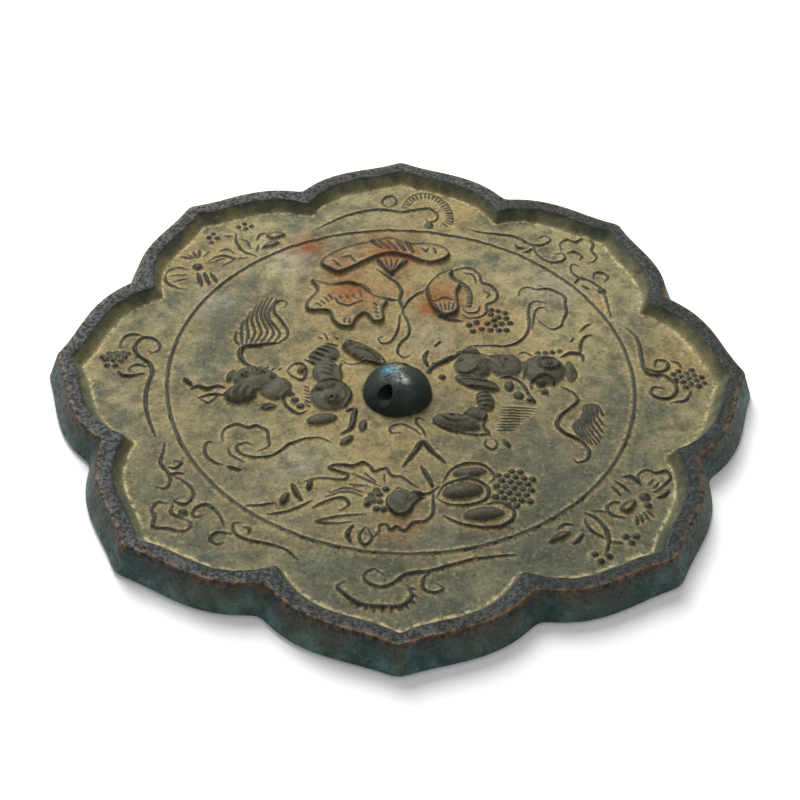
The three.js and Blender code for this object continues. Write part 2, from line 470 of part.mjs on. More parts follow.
/** The curling clouds in the back right lobe and the front left lobe. */
function outerClouds() {
  return [
    line(LINE, [[25.5, 82.8], [30, 80.6], [38, 79.3], [43.5, 78.3], [47.5, 75.2], [50.5, 73.2], [54.5, 73.8],
      [57.3, 76.8], [55.3, 79.5], [52.6, 77.5]]),
    line(LINE, [[50.3, 73], [51.3, 68.5], [54, 64.6], [58, 63], [61.8, 65], [61.3, 68.7], [58, 68.3]]),
    line(LINE, [[43.5, 73.6], [44.3, 71.3], [47, 71.4]]),
    line(LINE, [[61, 70.5], [61, 75], [64, 77.2], [66.7, 75.8], [70.5, 78.3], [73.5, 75], [72.5, 70.5], [74.3, 67],
      [72.3, 63.8], [70, 63.5]]),
    line(FINE, [[63, 69], [66, 69.7], [68.6, 67], [67.3, 64.8]]),
    line(LINE, [[67, 61.3], [64.6, 62.2], [63.7, 59], [65.5, 55.3], [70, 52.6], [73.5, 49], [75, 44], [75.5, 38.5],
      [76, 32.5]]),
    line(LINE, [[71.8, 53.5], [72.3, 56.8], [75, 57.6], [77.3, 55.3], [75.5, 52.2]]), bead(74.2, 46.8, 1.4),
    line(BOLD, [[67, 50], [69.6, 47.6]]),
    line(LINE, [[-77.4, -35], [-77.3, -40], [-77.6, -44.5], [-74.6, -49], [-73.5, -52.5], [-74.8, -55.7],
      [-78, -54.8]]),
    line(LINE, [[-73.5, -43.2], [-71, -44.4], [-72.6, -46.8], [-75, -46.3]]),
    line(LINE, [[-72, -50.5], [-67.5, -54], [-65.5, -58], [-67.5, -61.8], [-71.2, -60.8], [-69.5, -58.8]]),
    line(LINE, [[-73, -62], [-76.4, -61.3], [-77.8, -64.5], [-76.6, -67.5], [-76.6, -71.3], [-72, -72], [-66.7, -73],
      [-65, -70.3], [-67, -68]]),
    line(FINE, [[-71.5, -62.5], [-71.7, -65.5], [-67.5, -68.2]]), bead(-68, -65.5, 1.3),
    line(LINE, [[-61.5, -66.5], [-64.6, -67], [-64.5, -63.8], [-61, -62], [-58, -64.5], [-56, -67.5], [-55, -70.5]]),
    line(LINE, [[-49.8, -68.8], [-52, -69.5], [-51.2, -73.3], [-47.5, -75.8], [-41, -77.3], [-36, -79], [-31, -83.5]]),
    line(LINE, [[-52, -73.6], [-56.5, -73.2], [-58.6, -75.5], [-56.3, -78], [-54.2, -77]]),
    line(LINE, [[-48.8, -70.8], [-46.8, -71.6], [-47.2, -73.4]]),
  ];
}

/** The bunches of grapes on long stems in the left and right lobes. */
function grapes() {
  return [
    line(BOLD, [[-80.5, -33], [-83.5, -26], [-85.8, -18], [-86.3, -9], [-85.6, -3], [-87, 2], [-91.5, 6], [-93.3, 10.5],
      [-90.8, 15], [-86.6, 14.3], [-84.5, 10.3], [-86.3, 7.6], [-88.8, 8.8]]),
    line(LINE, [[-98.5, 10], [-97.6, 15], [-94, 16.8], [-90.5, 15.8]]),
    line(LINE, [[-87.5, 0.3], [-91.5, 1.4], [-93.6, -0.7], [-93, -2.5]]),
    line(BOLD, [[-97.4, -2], [-95, -4.4], [-91.5, -4.4], [-88.3, -3.2]]),
    ...cluster(-99.3, 3.9, 4.8, 4.2, -10, 3.2, 1.3),
    line(BOLD, [[80.8, 27], [84, 21], [84.6, 13], [84.6, 6], [86.5, 2], [91, 1.6], [94.6, -2.5], [93.4, -8], [89, -9.7],
      [85.6, -7.3], [87.2, -3.8], [90.4, -4.8]]),
    line(BOLD, [[85.3, 5.3], [89, 3.7], [93, 5.6], [92.8, 9.2], [89.3, 9.2], [88.8, 6.6]]),
    line(LINE, [[94.5, 9.5], [97, 8.3], [98, 6]]), line(LINE, [[91.5, -11.5], [97, -10.2], [99.8, -5.5]]),
    ...cluster(99.7, 0.6, 5.4, 4.4, -20, 3.2, 1.3),
  ];
}

/** The whole casting as one geometry. */
function mirrorGeometry() {
  const relief = [
    border(), knob(), ...beasts(), ...upperSpray(), ...lowerFlower(), ...innerClouds(),
    ...scrolls(), ...sprays(), ...outerClouds(), ...grapes(),
  ].map(solid);
  return surface(solid(dish()).add(wasm.Manifold.union(relief)).subtract(solid(cordHole())));
}

const bronze = new THREE.MeshStandardMaterial({ color: '#5d5f4a', roughness: 0.62, metalness: 0.55 });

const mirror = new THREE.Mesh(mirrorGeometry(), bronze);
mirror.name = 'mirror';

// The part's +Y axis runs along the cord hole, so the pattern stands turned by the hole's bearing.
const part = new THREE.Group();
part.add(mirror);
mirror.rotation.z = HOLE_BEARING;

export default part;
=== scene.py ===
from math import cos, pi, radians, sin, tau

import bmesh
import bpy
import numpy as np
from mathutils import Matrix, Vector


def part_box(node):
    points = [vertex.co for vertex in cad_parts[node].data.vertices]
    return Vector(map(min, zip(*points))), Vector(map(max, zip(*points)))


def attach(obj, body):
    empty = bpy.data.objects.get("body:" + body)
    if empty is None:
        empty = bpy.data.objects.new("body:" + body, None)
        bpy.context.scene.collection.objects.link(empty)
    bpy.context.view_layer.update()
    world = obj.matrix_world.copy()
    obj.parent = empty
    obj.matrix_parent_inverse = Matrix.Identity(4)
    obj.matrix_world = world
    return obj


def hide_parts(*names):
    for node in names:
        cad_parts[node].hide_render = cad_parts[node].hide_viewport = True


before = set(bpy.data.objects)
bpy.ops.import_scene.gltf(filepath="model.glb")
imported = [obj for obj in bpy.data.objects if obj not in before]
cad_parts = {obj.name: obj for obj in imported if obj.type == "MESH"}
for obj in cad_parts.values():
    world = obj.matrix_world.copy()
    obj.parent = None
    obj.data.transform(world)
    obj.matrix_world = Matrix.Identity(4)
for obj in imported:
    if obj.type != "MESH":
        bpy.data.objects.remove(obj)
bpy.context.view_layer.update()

# ---------------------------------------------------------------------------------------------
# The drawing of the mirror's back. The founder cut the pattern in the clay mould, so every
# figure is worked here as a mark pressed into one sheet of heights, in millimetres from the
# middle, with a lobe's point straight up the sheet. The part lies turned by CORD_BEARING.

CORD_BEARING = radians(31)
mirror_low, mirror_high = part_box("mirror")
FIELD_HEIGHT = 6
KNOB_HEIGHT = 9.4
MM = (mirror_high.z - mirror_low.z) / (FIELD_HEIGHT + KNOB_HEIGHT)
CELL = 0.2
REACH = 112
side = int(2 * REACH / CELL) + 1
sheet_axis = np.arange(side) * CELL - REACH

masses = np.zeros((side, side), np.float32)
lines = np.zeros((side, side), np.float32)
cuts = np.zeros((side, side), np.float32)
rubbed = np.zeros((side, side), np.float32)


def smooth(points, closed=False, step=0.12):
    """Spots a step apart along a smooth line through the given points."""
    knots = np.array(points, float)
    if closed:
        knots = np.vstack([knots[-1], knots, knots[:2]])
    else:
        knots = np.vstack([2 * knots[0] - knots[1], knots, 2 * knots[-1] - knots[-2]])
    gaps = np.sqrt(np.linalg.norm(np.diff(knots, axis=0), axis=1))[:, None]
    slopes = np.diff(knots, axis=0) / gaps
    across = (knots[2:] - knots[:-2]) / (gaps[1:] + gaps[:-1])
    tangents = slopes[:-1] - across + slopes[1:]
    spots = []
    for i in range(len(tangents) - 1):
        start, end = knots[i + 1], knots[i + 2]
        gap = gaps[i + 1]
        count = max(2, int(np.linalg.norm(end - start) / step))
        t = np.arange(count)[:, None] / count
        spots.append((2 * t**3 - 3 * t**2 + 1) * start + (t**3 - 2 * t**2 + t) * gap * tangents[i]
                     + (3 * t**2 - 2 * t**3) * end + (t**3 - t**2) * gap * tangents[i + 1])
    if not closed:
        spots.append(knots[-2:-1])
    return np.vstack(spots)


def press(layer, spots, radius, height, roundness=1.2, finish=1.0):
    """Presses round-topped marks side by side into a layer, and keeps the highest at each cell."""
    reach = int(radius.max() / CELL) + 2
    offset = np.arange(-reach, reach + 1)
    column = np.round((spots[:, 0] + REACH) / CELL).astype(int)[:, None, None] + offset[None, None, :]
    row = np.round((spots[:, 1] + REACH) / CELL).astype(int)[:, None, None] + offset[None, :, None]
    row, column = np.broadcast_arrays(row, column)
    away = (column * CELL - REACH - spots[:, 0, None, None]) ** 2
    away = away + (row * CELL - REACH - spots[:, 1, None, None]) ** 2
    share = np.clip(1 - away / radius[:, None, None] ** 2, 0, 1)
    np.maximum.at(layer, (row, column), height[:, None, None] * share**roundness)
    if finish:
        np.maximum.at(rubbed, (row, column), finish * np.clip(2.2 * share, 0, 1))


def ridge(points, width=1.4, height=0.8, blunt=0.3, layer=lines, finish=1.0):
    """A raised line, thinner and lower towards both ends; blunt is the share left at an end."""
    spots = smooth(points)
    along = np.linspace(0, 1, len(spots))
    size = blunt + (1 - blunt) * np.sqrt(np.sin(pi * along).clip(0, 1))
    press(layer, spots, width / 2 * size, height * size, finish=finish)


# ---------------------------------------------------------------------------------------------
# The two beasts that crouch face to face across the knob. Their bodies are low rounded masses
# of bronze, cast in one with the ground, with the fur, ribs and joints raised on them as lines.


def groove(points, width=0.9, depth=0.5):
    """A cut line."""
    ridge(points, width, depth, layer=cuts, finish=0)


def window(low, high):
    """The part of the sheet between two corners: its slices, and its x and y."""
    first = np.clip(((np.array(low) + REACH) / CELL).astype(int), 0, side - 1)
    last = np.clip(((np.array(high) + REACH) / CELL).astype(int) + 2, 0, side)
    cells = (slice(first[1], last[1]), slice(first[0], last[0]))
    return cells, sheet_axis[None, cells[1]], sheet_axis[cells[0], None]


def dome(x, y, long, wide, turn, height, finish=0.85):
    """A raised lens: its middle, its length and width, the length's bearing, and its height."""
    half = max(long, wide) / 2 + CELL
    cells, across, up = window((x - half, y - half), (x + half, y + half))
    angle = radians(turn)
    u = ((across - x) * cos(angle) + (up - y) * sin(angle)) / (long / 2)
    v = ((up - y) * cos(angle) - (across - x) * sin(angle)) / (wide / 2)
    share = np.clip(1 - u**2 - v**2, 0, 1)
    masses[cells] = np.maximum(masses[cells], height * share**0.6)
    rubbed[cells] = np.maximum(rubbed[cells], finish * np.clip(5 * share, 0, 1))


def bead(x, y, radius=1.2, height=1.0):
    """A round bead."""
    press(lines, np.array([[x, y]], float), np.array([radius * 1.25]), np.array([height]), 0.7)


def comb(count, start, finish, width=0.9, height=0.6):
    """Short strokes side by side, from the pair of ends at the start to the pair at the finish."""
    for t in np.linspace(0, 1, count)[:, None]:
        ridge(np.array(start) * (1 - t) + np.array(finish) * t, width, height)


def plume(count, first, middle, last):
    """Strands that fan from the first guide line to the last, through the middle one."""
    for t in np.linspace(0, 1, count):
        a, b, c = (1 - t) * (1 - 2 * t), 4 * t * (1 - t), t * (2 * t - 1)
        ridge(a * np.array(first) + b * np.array(middle) + c * np.array(last), 1.3, 0.85, 0.45)


# left beast: hindquarters, thigh, waist, chest, neck, head, forelegs and hind feet
dome(-50, -5, 17, 13, -10, 1.9)
dome(-54.5, -12.5, 12, 10, 20, 2.2)
dome(-43, -9, 12, 12, 0, 1.3)
dome(-24, -12, 15, 16, -20, 1.7)
dome(-25.5, -1, 11, 13, 20, 1.3)
dome(-27, 8, 12, 10, 35, 0.9)
dome(-14, 9.5, 17, 8, -34, 2.0)
dome(-18, 13, 6, 5, 0, 2.3)
dome(-26.5, -23.5, 11, 6, 15, 1.5)
dome(-12.8, -26, 3, 6.5, -5, 1.2)
dome(-18, -33, 6.5, 3.4, 50, 1.2)
dome(-58.5, -3.5, 3, 7, -15, 1.0)
dome(-73, -7, 5, 2.2, -45, 1.0)
dome(-44.5, -18, 6, 3.4, 15, 0.9)
ridge([[-60, -9], [-63, -8.5], [-66, -10], [-69.5, -9], [-71.5, -10.5]], 2.2, 1.1)
ridge([[-59, -13], [-64, -12.5], [-69, -14.5]], 1.4, 0.9)
ridge([[-74.5, -5.5], [-72, -7.5], [-71, -9.5]], 1.0, 0.6)
ridge([[-62, -13], [-65, -16.5], [-68, -14.5]], 1.2, 0.7)
ridge([[-18.5, -19], [-15.8, -18.3], [-16, -22], [-16.8, -27], [-20, -30]], 2.6, 1.2)
ridge([[-29.5, -7], [-27, -5.5], [-22, -5.5], [-18.5, -9], [-17.3, -13], [-19.5, -18]], 1.6, 1.0)
ridge([[-29, -8], [-24, -6.6], [-20, -9.5], [-19, -14]], 0.9, 0.6)
ridge([[-21, 5], [-21.5, 0], [-20.5, -5]], 1.2, 0.7)
ridge([[-39.5, 0], [-37.5, 3.2], [-34.5, 3.5], [-33, 0], [-34, -4.5], [-38, -2.5], [-39.5, 0]], 1.3, 0.9)
dome(-34.5, 0.2, 4.2, 2.8, 60, 1.1)
ridge([[-38, -9.8], [-40, -13], [-38.5, -17.5], [-34, -21], [-31.5, -19]], 1.6, 1.0)
for x, y, radius in [(-37.5, -11.8, 1.2), (-36, -14.6, 1.3), (-34, -17.3, 1.3), (-28, -9.5, 1.5),
                     (-24.5, -8.5, 1.6), (-23.5, -15, 2.1), (-49.5, -2.8, 1.9), (-53.5, -4.3, 1.4)]:
    bead(x, y, radius, 0.9)
for x, y in [(-53, -4.5), (-47, -3), (-44, -5), (-49.5, -2.8), (-23.5, -15)]:
    groove([[x - 0.4, y], [x + 0.4, y]], 1.5, 0.7)
for x in (-58, -55.3, -52.7, -50):
    ridge([[x - 0.4, -15.5], [x - 0.6, -12.5], [x + 0.9, -10]], 1.5, 0.7)
comb(6, [[-33.5, -7], [-31.5, -8.5]], [[-32.5, -16], [-30.5, -17.5]], 0.9, 0.6)
comb(6, [[-34, 6], [-29.5, 3]], [[-27, 14.5], [-22.5, 13]], 1.3, 0.8)
comb(5, [[-26, 7], [-22.5, 6]], [[-28, -1], [-24, -3]], 0.9, 0.5)
ridge([[-30, 17.5], [-28, 17]], 1, 0.6)
ridge([[-27.5, 20], [-26, 16]], 1, 0.6)
ridge([[-24, 18], [-22.5, 16.8]], 1, 0.6)
comb(3, [[-49, -17.5], [-44, -15.8]], [[-46.5, -19.8], [-42, -18.3]], 1.0, 0.5)
comb(5, [[-52, 0.6], [-50.5, 2]], [[-42.5, 0], [-41.5, 1.5]], 0.9, 0.6)
ridge([[-20.5, 11], [-19.5, 14], [-17, 15.5], [-14, 14.5], [-9.5, 11], [-7, 8], [-6, 5], [-8, 4], [-13, 5],
       [-18, 4], [-21, 6]], 1.1, 0.7)
ridge([[-17, 11], [-12, 9], [-8, 6]], 0.9, 0.5)
groove([[-18.3, 13.2], [-17.6, 13.2]], 1.5, 0.8)
ridge([[-51, 1], [-54.5, 3.5], [-56.3, 7.5], [-55.5, 11], [-50, 12.5], [-43.5, 14]], 2.4, 1.2)
# right beast: shoulders, middle, rump, foreleg, neck and muzzle
dome(25, 4, 14, 14, 0, 1.9)
dome(24.5, 10.5, 7, 5, -10, 2.2)
dome(36, 5, 14, 12, -10, 1.4)
dome(49.5, 3, 16, 16, 0, 1.7)
dome(26, -4.5, 17, 7, -22, 1.5)
dome(28.5, -13, 6.5, 11, 10, 1.2)
dome(18.5, -24, 17, 8, -14, 2.0)
dome(25, -20, 8, 6, -20, 1.8)
dome(58.5, 2.5, 4, 11, 0, 0.7)
ridge([[22, 11], [17, 8], [12, 4.5], [9, 1]], 3.0, 1.3)
ridge([[9.3, 12], [8, 8], [9.2, 3.5]], 2.0, 1.0)
ridge([[14, 17], [11.5, 14]], 1.3, 0.8)
ridge([[34, -1.2], [38, -1], [41.5, -4], [43.5, -9], [45.5, -12.5]], 1.5, 0.9)
dome(37, -5.5, 3.6, 5.4, 0, 1.1)
dome(40, -10, 4, 4, 0, 1.1)
dome(44, -12.3, 3.5, 2.4, -20, 1.1)
dome(14, -1.5, 3, 3, 0, 0.9)
ridge([[47.5, 7], [48, 3.5], [51.5, 2.2], [54.5, 4.5], [53.5, 7.8], [50.5, 8.3], [47.5, 7]], 1.8, 0.9)
bead(51, 5.3, 1.4, 1.0)
groove([[50.7, 5.3], [51.3, 5.3]], 1.4, 0.8)
ridge([[44.5, -6.5], [45, -3], [48.5, -0.8], [52, -2], [52.5, -5]], 1.4, 0.9)
bead(48, -4.5, 1.5)
bead(49, -8, 1.3)
ridge([[56, 10], [59.5, 12.3], [63.5, 11], [63.5, 8]], 1.8, 1.0)
ridge([[63, 11.5], [63.5, 17], [65.5, 21], [68, 22.5]], 1.6, 1.0)
ridge([[64, 24], [66.5, 27], [68.5, 28.3]], 1.3, 0.8)
ridge([[60, 18], [61.5, 20.5]], 1.1, 0.7)
ridge([[58, 7], [60.2, 4], [60.5, 0], [59, -2.5]], 1.1, 0.6)
ridge([[28.5, -20], [27.3, -24.5], [29.5, -29.5]], 1.5, 0.9)
ridge([[28, -31], [27.5, -33.5], [30, -35.5], [31.5, -33], [30.5, -30.5]], 1.2, 0.8)
dome(34.7, -32.5, 2.2, 4.8, 28, 1)
for x, y in [(48, 11.8), (50.6, 12), (53.2, 12.4), (55.8, 13.2), (20.5, 11), (23.5, 12), (20.5, 6), (36, 7),
             (33, 8.5), (9.5, 1), (11.5, 5), (17.5, 8)]:
    bead(x, y, 1.0, 0.6)
comb(9, [[34, -15.5], [46, -16]], [[31.5, -26.5], [37.5, -26]], 0.9, 0.6)
comb(4, [[25.5, -10], [30, -9]], [[25.5, -16], [31, -15.5]], 0.9, 0.6)
for points in [[[20, 0], [25, 1], [27, 4]], [[27, 9], [31, 6], [33, 3]], [[19, -1], [27, -3.5]], [[20, -3],
               [33, -5]], [[22, -6], [33, -8]], [[41, 11], [43, 12.3], [46, 10.5]], [[42.5, 8], [43, 3],
               [42, -2]], [[19, 2], [22, -0.5], [27, 1.5]], [[28, 11], [33, 8], [35, 3]], [[37, 10],
               [40, 9]]]:
    ridge(points, 1.1, 0.6)
ridge([[10.5, -22], [14, -20], [19, -21], [24, -17], [27, -17], [28.5, -20], [27, -24], [29, -28],
      [24, -29], [15, -27], [11, -24], [10.5, -22]], 1.2, 0.8)
groove([[16.3, -21.6], [17.6, -21.2]], 1.4, 0.8)
ridge([[13, -21], [16, -24], [22, -24]], 1.1, 0.6)
ridge([[55, -5], [59, -8], [60, -11.5], [57, -15.5], [53.3, -19.5], [52, -23.5], [54.5, -27.5], [59.5, -31],
       [61.6, -35], [60.5, -39], [57.5, -40.5], [56.2, -38.6]], 1.8, 1.1)
# tails
plume(8, [[-57, 12.5], [-58.7, 15.5], [-58.8, 18], [-58.5, 20]], [[-52.5, 13.5], [-51, 19], [-53, 28],
      [-51.5, 36]], [[-45, 14], [-43.3, 19], [-48, 29], [-45.5, 38]])
ridge([[-43.5, 14], [-40.7, 17.5], [-40.7, 21], [-43.2, 26], [-46, 31], [-46, 35], [-44, 37.3], [-41.8, 36],
       [-42.5, 33.3]], 1.4, 0.9)
plume(9, [[62, -13.5], [61, -19], [57.5, -24], [60, -30]], [[64, -13], [63.5, -18], [62, -23], [65.5, -31]],
      [[66.5, -13.5], [67, -15], [67.3, -16.5], [68, -18.5]])

# ---------------------------------------------------------------------------------------------
# The spray above the knob: a cap-shaped bloom, an open flower on the left and a bud on the
# right. The petals are flat bronze leaves dished inside a raised edge, cast with the ground.


def plate(points, height=1.0, rim=0.45, finish=0.9):
    """A flat raised leaf or petal with a smooth outline, dished inside a raised edge."""
    outline = smooth(points, closed=True, step=0.5)
    cells, across, up = window(outline.min(axis=0) - 2, outline.max(axis=0) + 2)
    inside = np.zeros(np.broadcast_shapes(across.shape, up.shape), bool)
    away = np.full(inside.shape, 99.0)
    for (ax, ay), (bx, by) in zip(outline, np.roll(outline, -1, axis=0)):
        if ay != by:
            inside ^= ((ay > up) != (by > up)) & (across < (bx - ax) * (up - ay) / (by - ay) + ax)
        length = (bx - ax) ** 2 + (by - ay) ** 2
        t = np.clip(((across - ax) * (bx - ax) + (up - ay) * (by - ay)) / length, 0, 1)
        away = np.minimum(away, np.hypot(across - ax - t * (bx - ax), up - ay - t * (by - ay)))
    depth = np.where(inside, away, -away)
    rise = np.clip(depth / 0.9 + 0.5, 0, 1)
    edge = np.exp(-(((depth - 0.55) / 0.6) ** 2))
    raised = height * rise**2 * (3 - 2 * rise) + rim * edge
    masses[cells] = np.maximum(masses[cells], raised)
    rubbed[cells] = np.maximum(rubbed[cells], finish * np.clip(1.3 * edge, 0, 1))


plate([[-30.5, 58], [-26, 54], [-23.5, 52.8], [-15, 58.5], [-9.5, 62.8], [-3.5, 64.8], [2.5, 63.2],
      [8, 60.3], [14, 60.6], [18.3, 65], [16.5, 69.3], [9, 71.8], [3, 71.5], [-4, 74.5], [-12, 72],
      [-20, 68.8], [-27, 64]], 1.1)
comb(5, [[-12.5, 72.5], [-7.5, 67.5]], [[1.5, 72], [4.5, 65.5]], 2.2, 0.7)
for points in [[[-26, 60], [-23, 56]], [[-23, 61.5], [-19, 63]], [[-20, 63], [-17.5, 59]], [[3, 68],
               [4.5, 65]], [[7.5, 68.5], [9, 66], [10, 68]], [[12, 69], [13, 65]]]:
    ridge(points, 1.3, 0.6)
dome(-15, 64.5, 8, 7, 30, 1.5, 0)
plate([[-9.5, 62], [-7.5, 57.5], [-4, 53.5], [-0.5, 57], [2.3, 62], [-3.5, 64]], 0.8, 0.2)
for x in (-9, -6.5, -4, -1.5, 1):
    ridge([[x, 62], [-4 + (x + 4) * 0.25, 54.5]], 1.1, 0.6)
bead(-4.2, 53.5, 1.4, 0.8)
ridge([[-9.5, 56.5], [-5, 52], [-1.5, 48], [0, 43.5], [-0.8, 39], [0.4, 34], [0.3, 31]], 1.7, 0.9)
ridge([[0.4, 33.5], [2.5, 38.5], [5.5, 42.5], [9, 45]], 1.4, 0.9)
ridge([[-1, 39], [-4, 39], [-7.5, 40.5]], 1.4, 0.9)
ridge([[0.5, 32], [2.6, 25], [2.4, 20], [-0.6, 15], [-1.4, 10.5], [0.7, 8.2], [3, 9.3]], 1.3, 0.9)
ridge([[-0.6, 31], [-1.5, 22], [-4, 16], [-7, 15], [-8.2, 17.6], [-6.3, 19]], 1.2, 0.9)
plate([[-33.5, 48.5], [-31.3, 43], [-34.8, 35.5], [-34, 31.2], [-26.5, 30.3], [-25, 26], [-22, 22.5],
      [-18, 22.5], [-15.6, 27.5], [-13.5, 30], [-9.8, 25.4], [-6.4, 26.5], [-6.6, 33], [-5.2, 37.5],
      [-10.5, 41], [-13, 45.8], [-19, 47], [-26, 46]], 1.0)
ridge([[-25.5, 45.3], [-19, 46.3], [-14.5, 44.5], [-11.5, 41]], 1.4, 0.8)
ridge([[-24.5, 38.5], [-22.5, 34.8], [-19.5, 34.2], [-14, 37]], 1.4, 0.7)
comb(4, [[-31, 35], [-29, 33]], [[-27, 40], [-25, 37]], 1.0, 0.5)
comb(4, [[-10.5, 36], [-9, 34.5]], [[-9.5, 29], [-8, 27.5]], 1.0, 0.5)
ridge([[-20.5, 27], [-20.5, 24]], 1.0, 0.5)
ridge([[-18.5, 27], [-18.7, 24]], 1.0, 0.5)
comb(4, [[-23, 40], [-22, 37.5]], [[-15.5, 41.5], [-14.5, 38.5]], 1.0, 0.5)
plate([[9, 45], [10, 37.5], [12, 32.5], [16, 29.5], [20.3, 32], [20.6, 38], [20.4, 43], [21.8, 47.5],
      [18.5, 51], [19, 55.5], [14.5, 53.5], [11, 49.5]], 1.4)
ridge([[10.5, 37.5], [12, 37.3], [16, 39], [20, 37]], 1.2, 0.7)
comb(5, [[12, 36], [13.5, 31.5]], [[19, 36.5], [18, 32]], 1.0, 0.5)
ridge([[18, 55.5], [21.5, 58], [25.5, 58.3], [28.8, 55], [29.8, 50], [33.3, 48.2], [35.2, 44], [34.2, 39.7],
       [31, 37.5], [30.6, 33], [27.5, 30.3], [23.8, 30.2], [21.5, 32.5]], 1.4, 0.9)
ridge([[22, 35], [24, 32.8], [27.5, 33.6], [28.6, 37]], 1.1, 0.7)
ridge([[23, 56], [26.5, 54.5], [27.6, 50]], 1.1, 0.7)
ridge([[30, 46], [32.2, 44], [31, 40.8]], 1.1, 0.7)
ridge([[18.5, 53.5], [22, 50.5], [25, 46], [25.6, 41], [25, 36]], 1.3, 0.8)
for t in np.linspace(0.04, 0.96, 15):
    spot = smooth([[18.5, 53.5], [22, 50.5], [25, 46], [25.6, 41], [25, 36]])
    x, y = spot[int(t * (len(spot) - 1))]
    ridge([[x - 1.8, y - 1.2 + t], [x + 0.6, y]], 0.9, 0.6)
ridge([[13, 30.5], [16, 28.8], [22, 28]], 1.9, 1.0)
for x, y in [(32.5, 34.5), (35, 34), (37.5, 33), (32.3, 32), (35, 30.5), (37.8, 30), (30.8, 27),
             (33.2, 28.5), (36, 27.2), (39, 27.5), (24.2, 26), (27, 27.5), (28.7, 24), (25.5, 22.8),
             (31.8, 23.5), (34.8, 23.5), (37.5, 23.5), (33.5, 26)]:
    bead(x, y, 1.15, 0.9)

# ---------------------------------------------------------------------------------------------
# The flower below the knob, lying on its side with its seed head to the right. Its petals are
# cast as outlines round smooth swellings, and its seeds as round beads of bronze.


def cluster(x, y, half_x, half_y, turn, pitch, radius):
    """Beads packed in a honeycomb inside an ellipse."""
    angle = radians(turn)
    for row in range(-6, 7):
        for column in range(-6, 7):
            u = (column + (0.5 if row % 2 else 0)) * pitch
            v = row * pitch * 0.87
            if np.hypot(u / half_x, v / half_y) <= 1:
                bead(x + u * cos(angle) - v * sin(angle), y + u * sin(angle) + v * cos(angle), radius, 0.9)


ridge([[-49, -62], [-44, -61.7], [-39.5, -60.5]], 1.2, 0.8)
dome(-36.8, -59, 3, 6, -20, 1.2)
ridge([[-34.8, -52.5], [-33.5, -56], [-31.5, -59.5]], 2.4, 1.2)
ridge([[-29, -50.3], [-29.5, -55.3]], 2.4, 1.2)
ridge([[-42, -65.3], [-37, -64.5], [-31, -61.5], [-28, -59]], 1.3, 0.8)
ridge([[-31, -51.3], [-26, -49.7], [-18, -50], [-17.3, -47.8], [-21.5, -46.3], [-23.3, -45], [-20, -43.8],
      [-15.5, -44.2], [-12.5, -42.6], [-10.3, -44], [-8.8, -46.5], [-5, -45], [-3.3, -48], [0, -48.4],
      [3, -51.2], [5.5, -53]], 1.5, 0.9)
for points in [[[-17, -47], [-11, -50], [-6.5, -53]], [[-12, -47], [-8, -51]], [[-17, -52], [-10, -53]],
               [[-24, -57.5], [-18, -55.2], [-12, -57]], [[-23, -56], [-18, -53.8], [-12, -55.4]],
               [[-5.5, -47], [-5.5, -51]]]:
    ridge(points, 0.9, 0.6)
ridge([[-28, -62.5], [-24, -59.7], [-18.5, -58], [-16.5, -60.5], [-19.5, -63.5]], 1.4, 0.9)
ridge([[-11, -64.5], [-18, -65.4], [-26.5, -68], [-20, -68.6], [-15, -67.6]], 1.2, 0.8)
ridge([[-15, -69], [-16.6, -72.5], [-15.6, -76]], 1.9, 1.0)
ridge([[-11, -69.5], [-13, -73.5], [-11.3, -77], [-9.2, -74.5], [-10.5, -70]], 1.3, 0.9)
ridge([[-8.7, -74], [-7, -71.5], [-6.6, -68.8], [-4.5, -68.6], [-3.5, -70.8], [-1.5, -69.3], [0.7, -71],
      [3.5, -67.8], [7.5, -66.8], [9.8, -63.5], [10, -58], [10.3, -54]], 1.5, 0.9)
for x, y in [(-9.5, -56.5), (-7, -56.3), (-10.5, -58.5), (-9, -59), (-6.8, -59.3), (-10.8, -60.5),
             (-7.8, -62.3), (-5.5, -62.5), (-8, -54.5), (-5, -54)]:
    bead(x, y, 1.15, 0.8)
dome(0, -60, 9, 12, 0, 1.7)
dome(3.5, -58, 8, 4.5, 40, 1.4)
ridge([[-1, -53], [-2.5, -55], [-4.5, -58], [-4, -62], [-1, -65], [2, -64], [3.5, -61], [6, -58], [8, -57]],
      1.2, 0.8)
ridge([[-1.5, -53], [1.5, -54.5], [5, -56.2], [9, -55], [12, -52]], 1.4, 0.9)
ridge([[6.3, -43.5], [8.3, -48], [10, -52.5]], 2.1, 1.1)
ridge([[0.5, -44], [4, -38], [7, -33], [10, -37], [14.3, -42]], 2.4, 1.2)
ridge([[13.3, -50.5], [15.5, -45.8], [19.5, -42.7], [24.5, -42], [28.5, -44.3], [29.8, -48], [28.3, -50]],
      1.4, 0.9)
dome(22, -46.2, 12, 4.6, 8, 1.3)
ridge([[11, -57], [14, -51.5], [19.5, -49], [24.5, -49.5], [27.8, -53], [26.5, -57.5], [21, -60],
      [15, -59.7], [11.5, -57.5]], 1.5, 1.0)
dome(19.5, -54.3, 14, 7.4, 12, 1.9)
ridge([[13, -64.5], [17.5, -67.3], [24, -69], [31, -68.3], [35.2, -64.5], [34.6, -60.5], [30.5, -58.5],
       [26, -59.8]], 1.6, 1.0)
dome(26, -63.7, 14, 6, 8, 1.6)
cluster(36, -52.5, 6.9, 8.6, -8, 2.75, 1.15)
ridge([[0, -28.5], [-3.3, -28.8], [-3.8, -26.5], [-1, -24.8], [3, -26], [6.5, -29.5]], 1.2, 0.7)
ridge([[8, -30.5], [7, -27], [5, -24], [5.4, -21.6], [7.8, -22.3]], 1.2, 0.7)

# ---------------------------------------------------------------------------------------------
# The curled clouds inside the border line, one beside each beast. They are single raised lines,
# cast in one with the ground and thinner towards their curled ends.

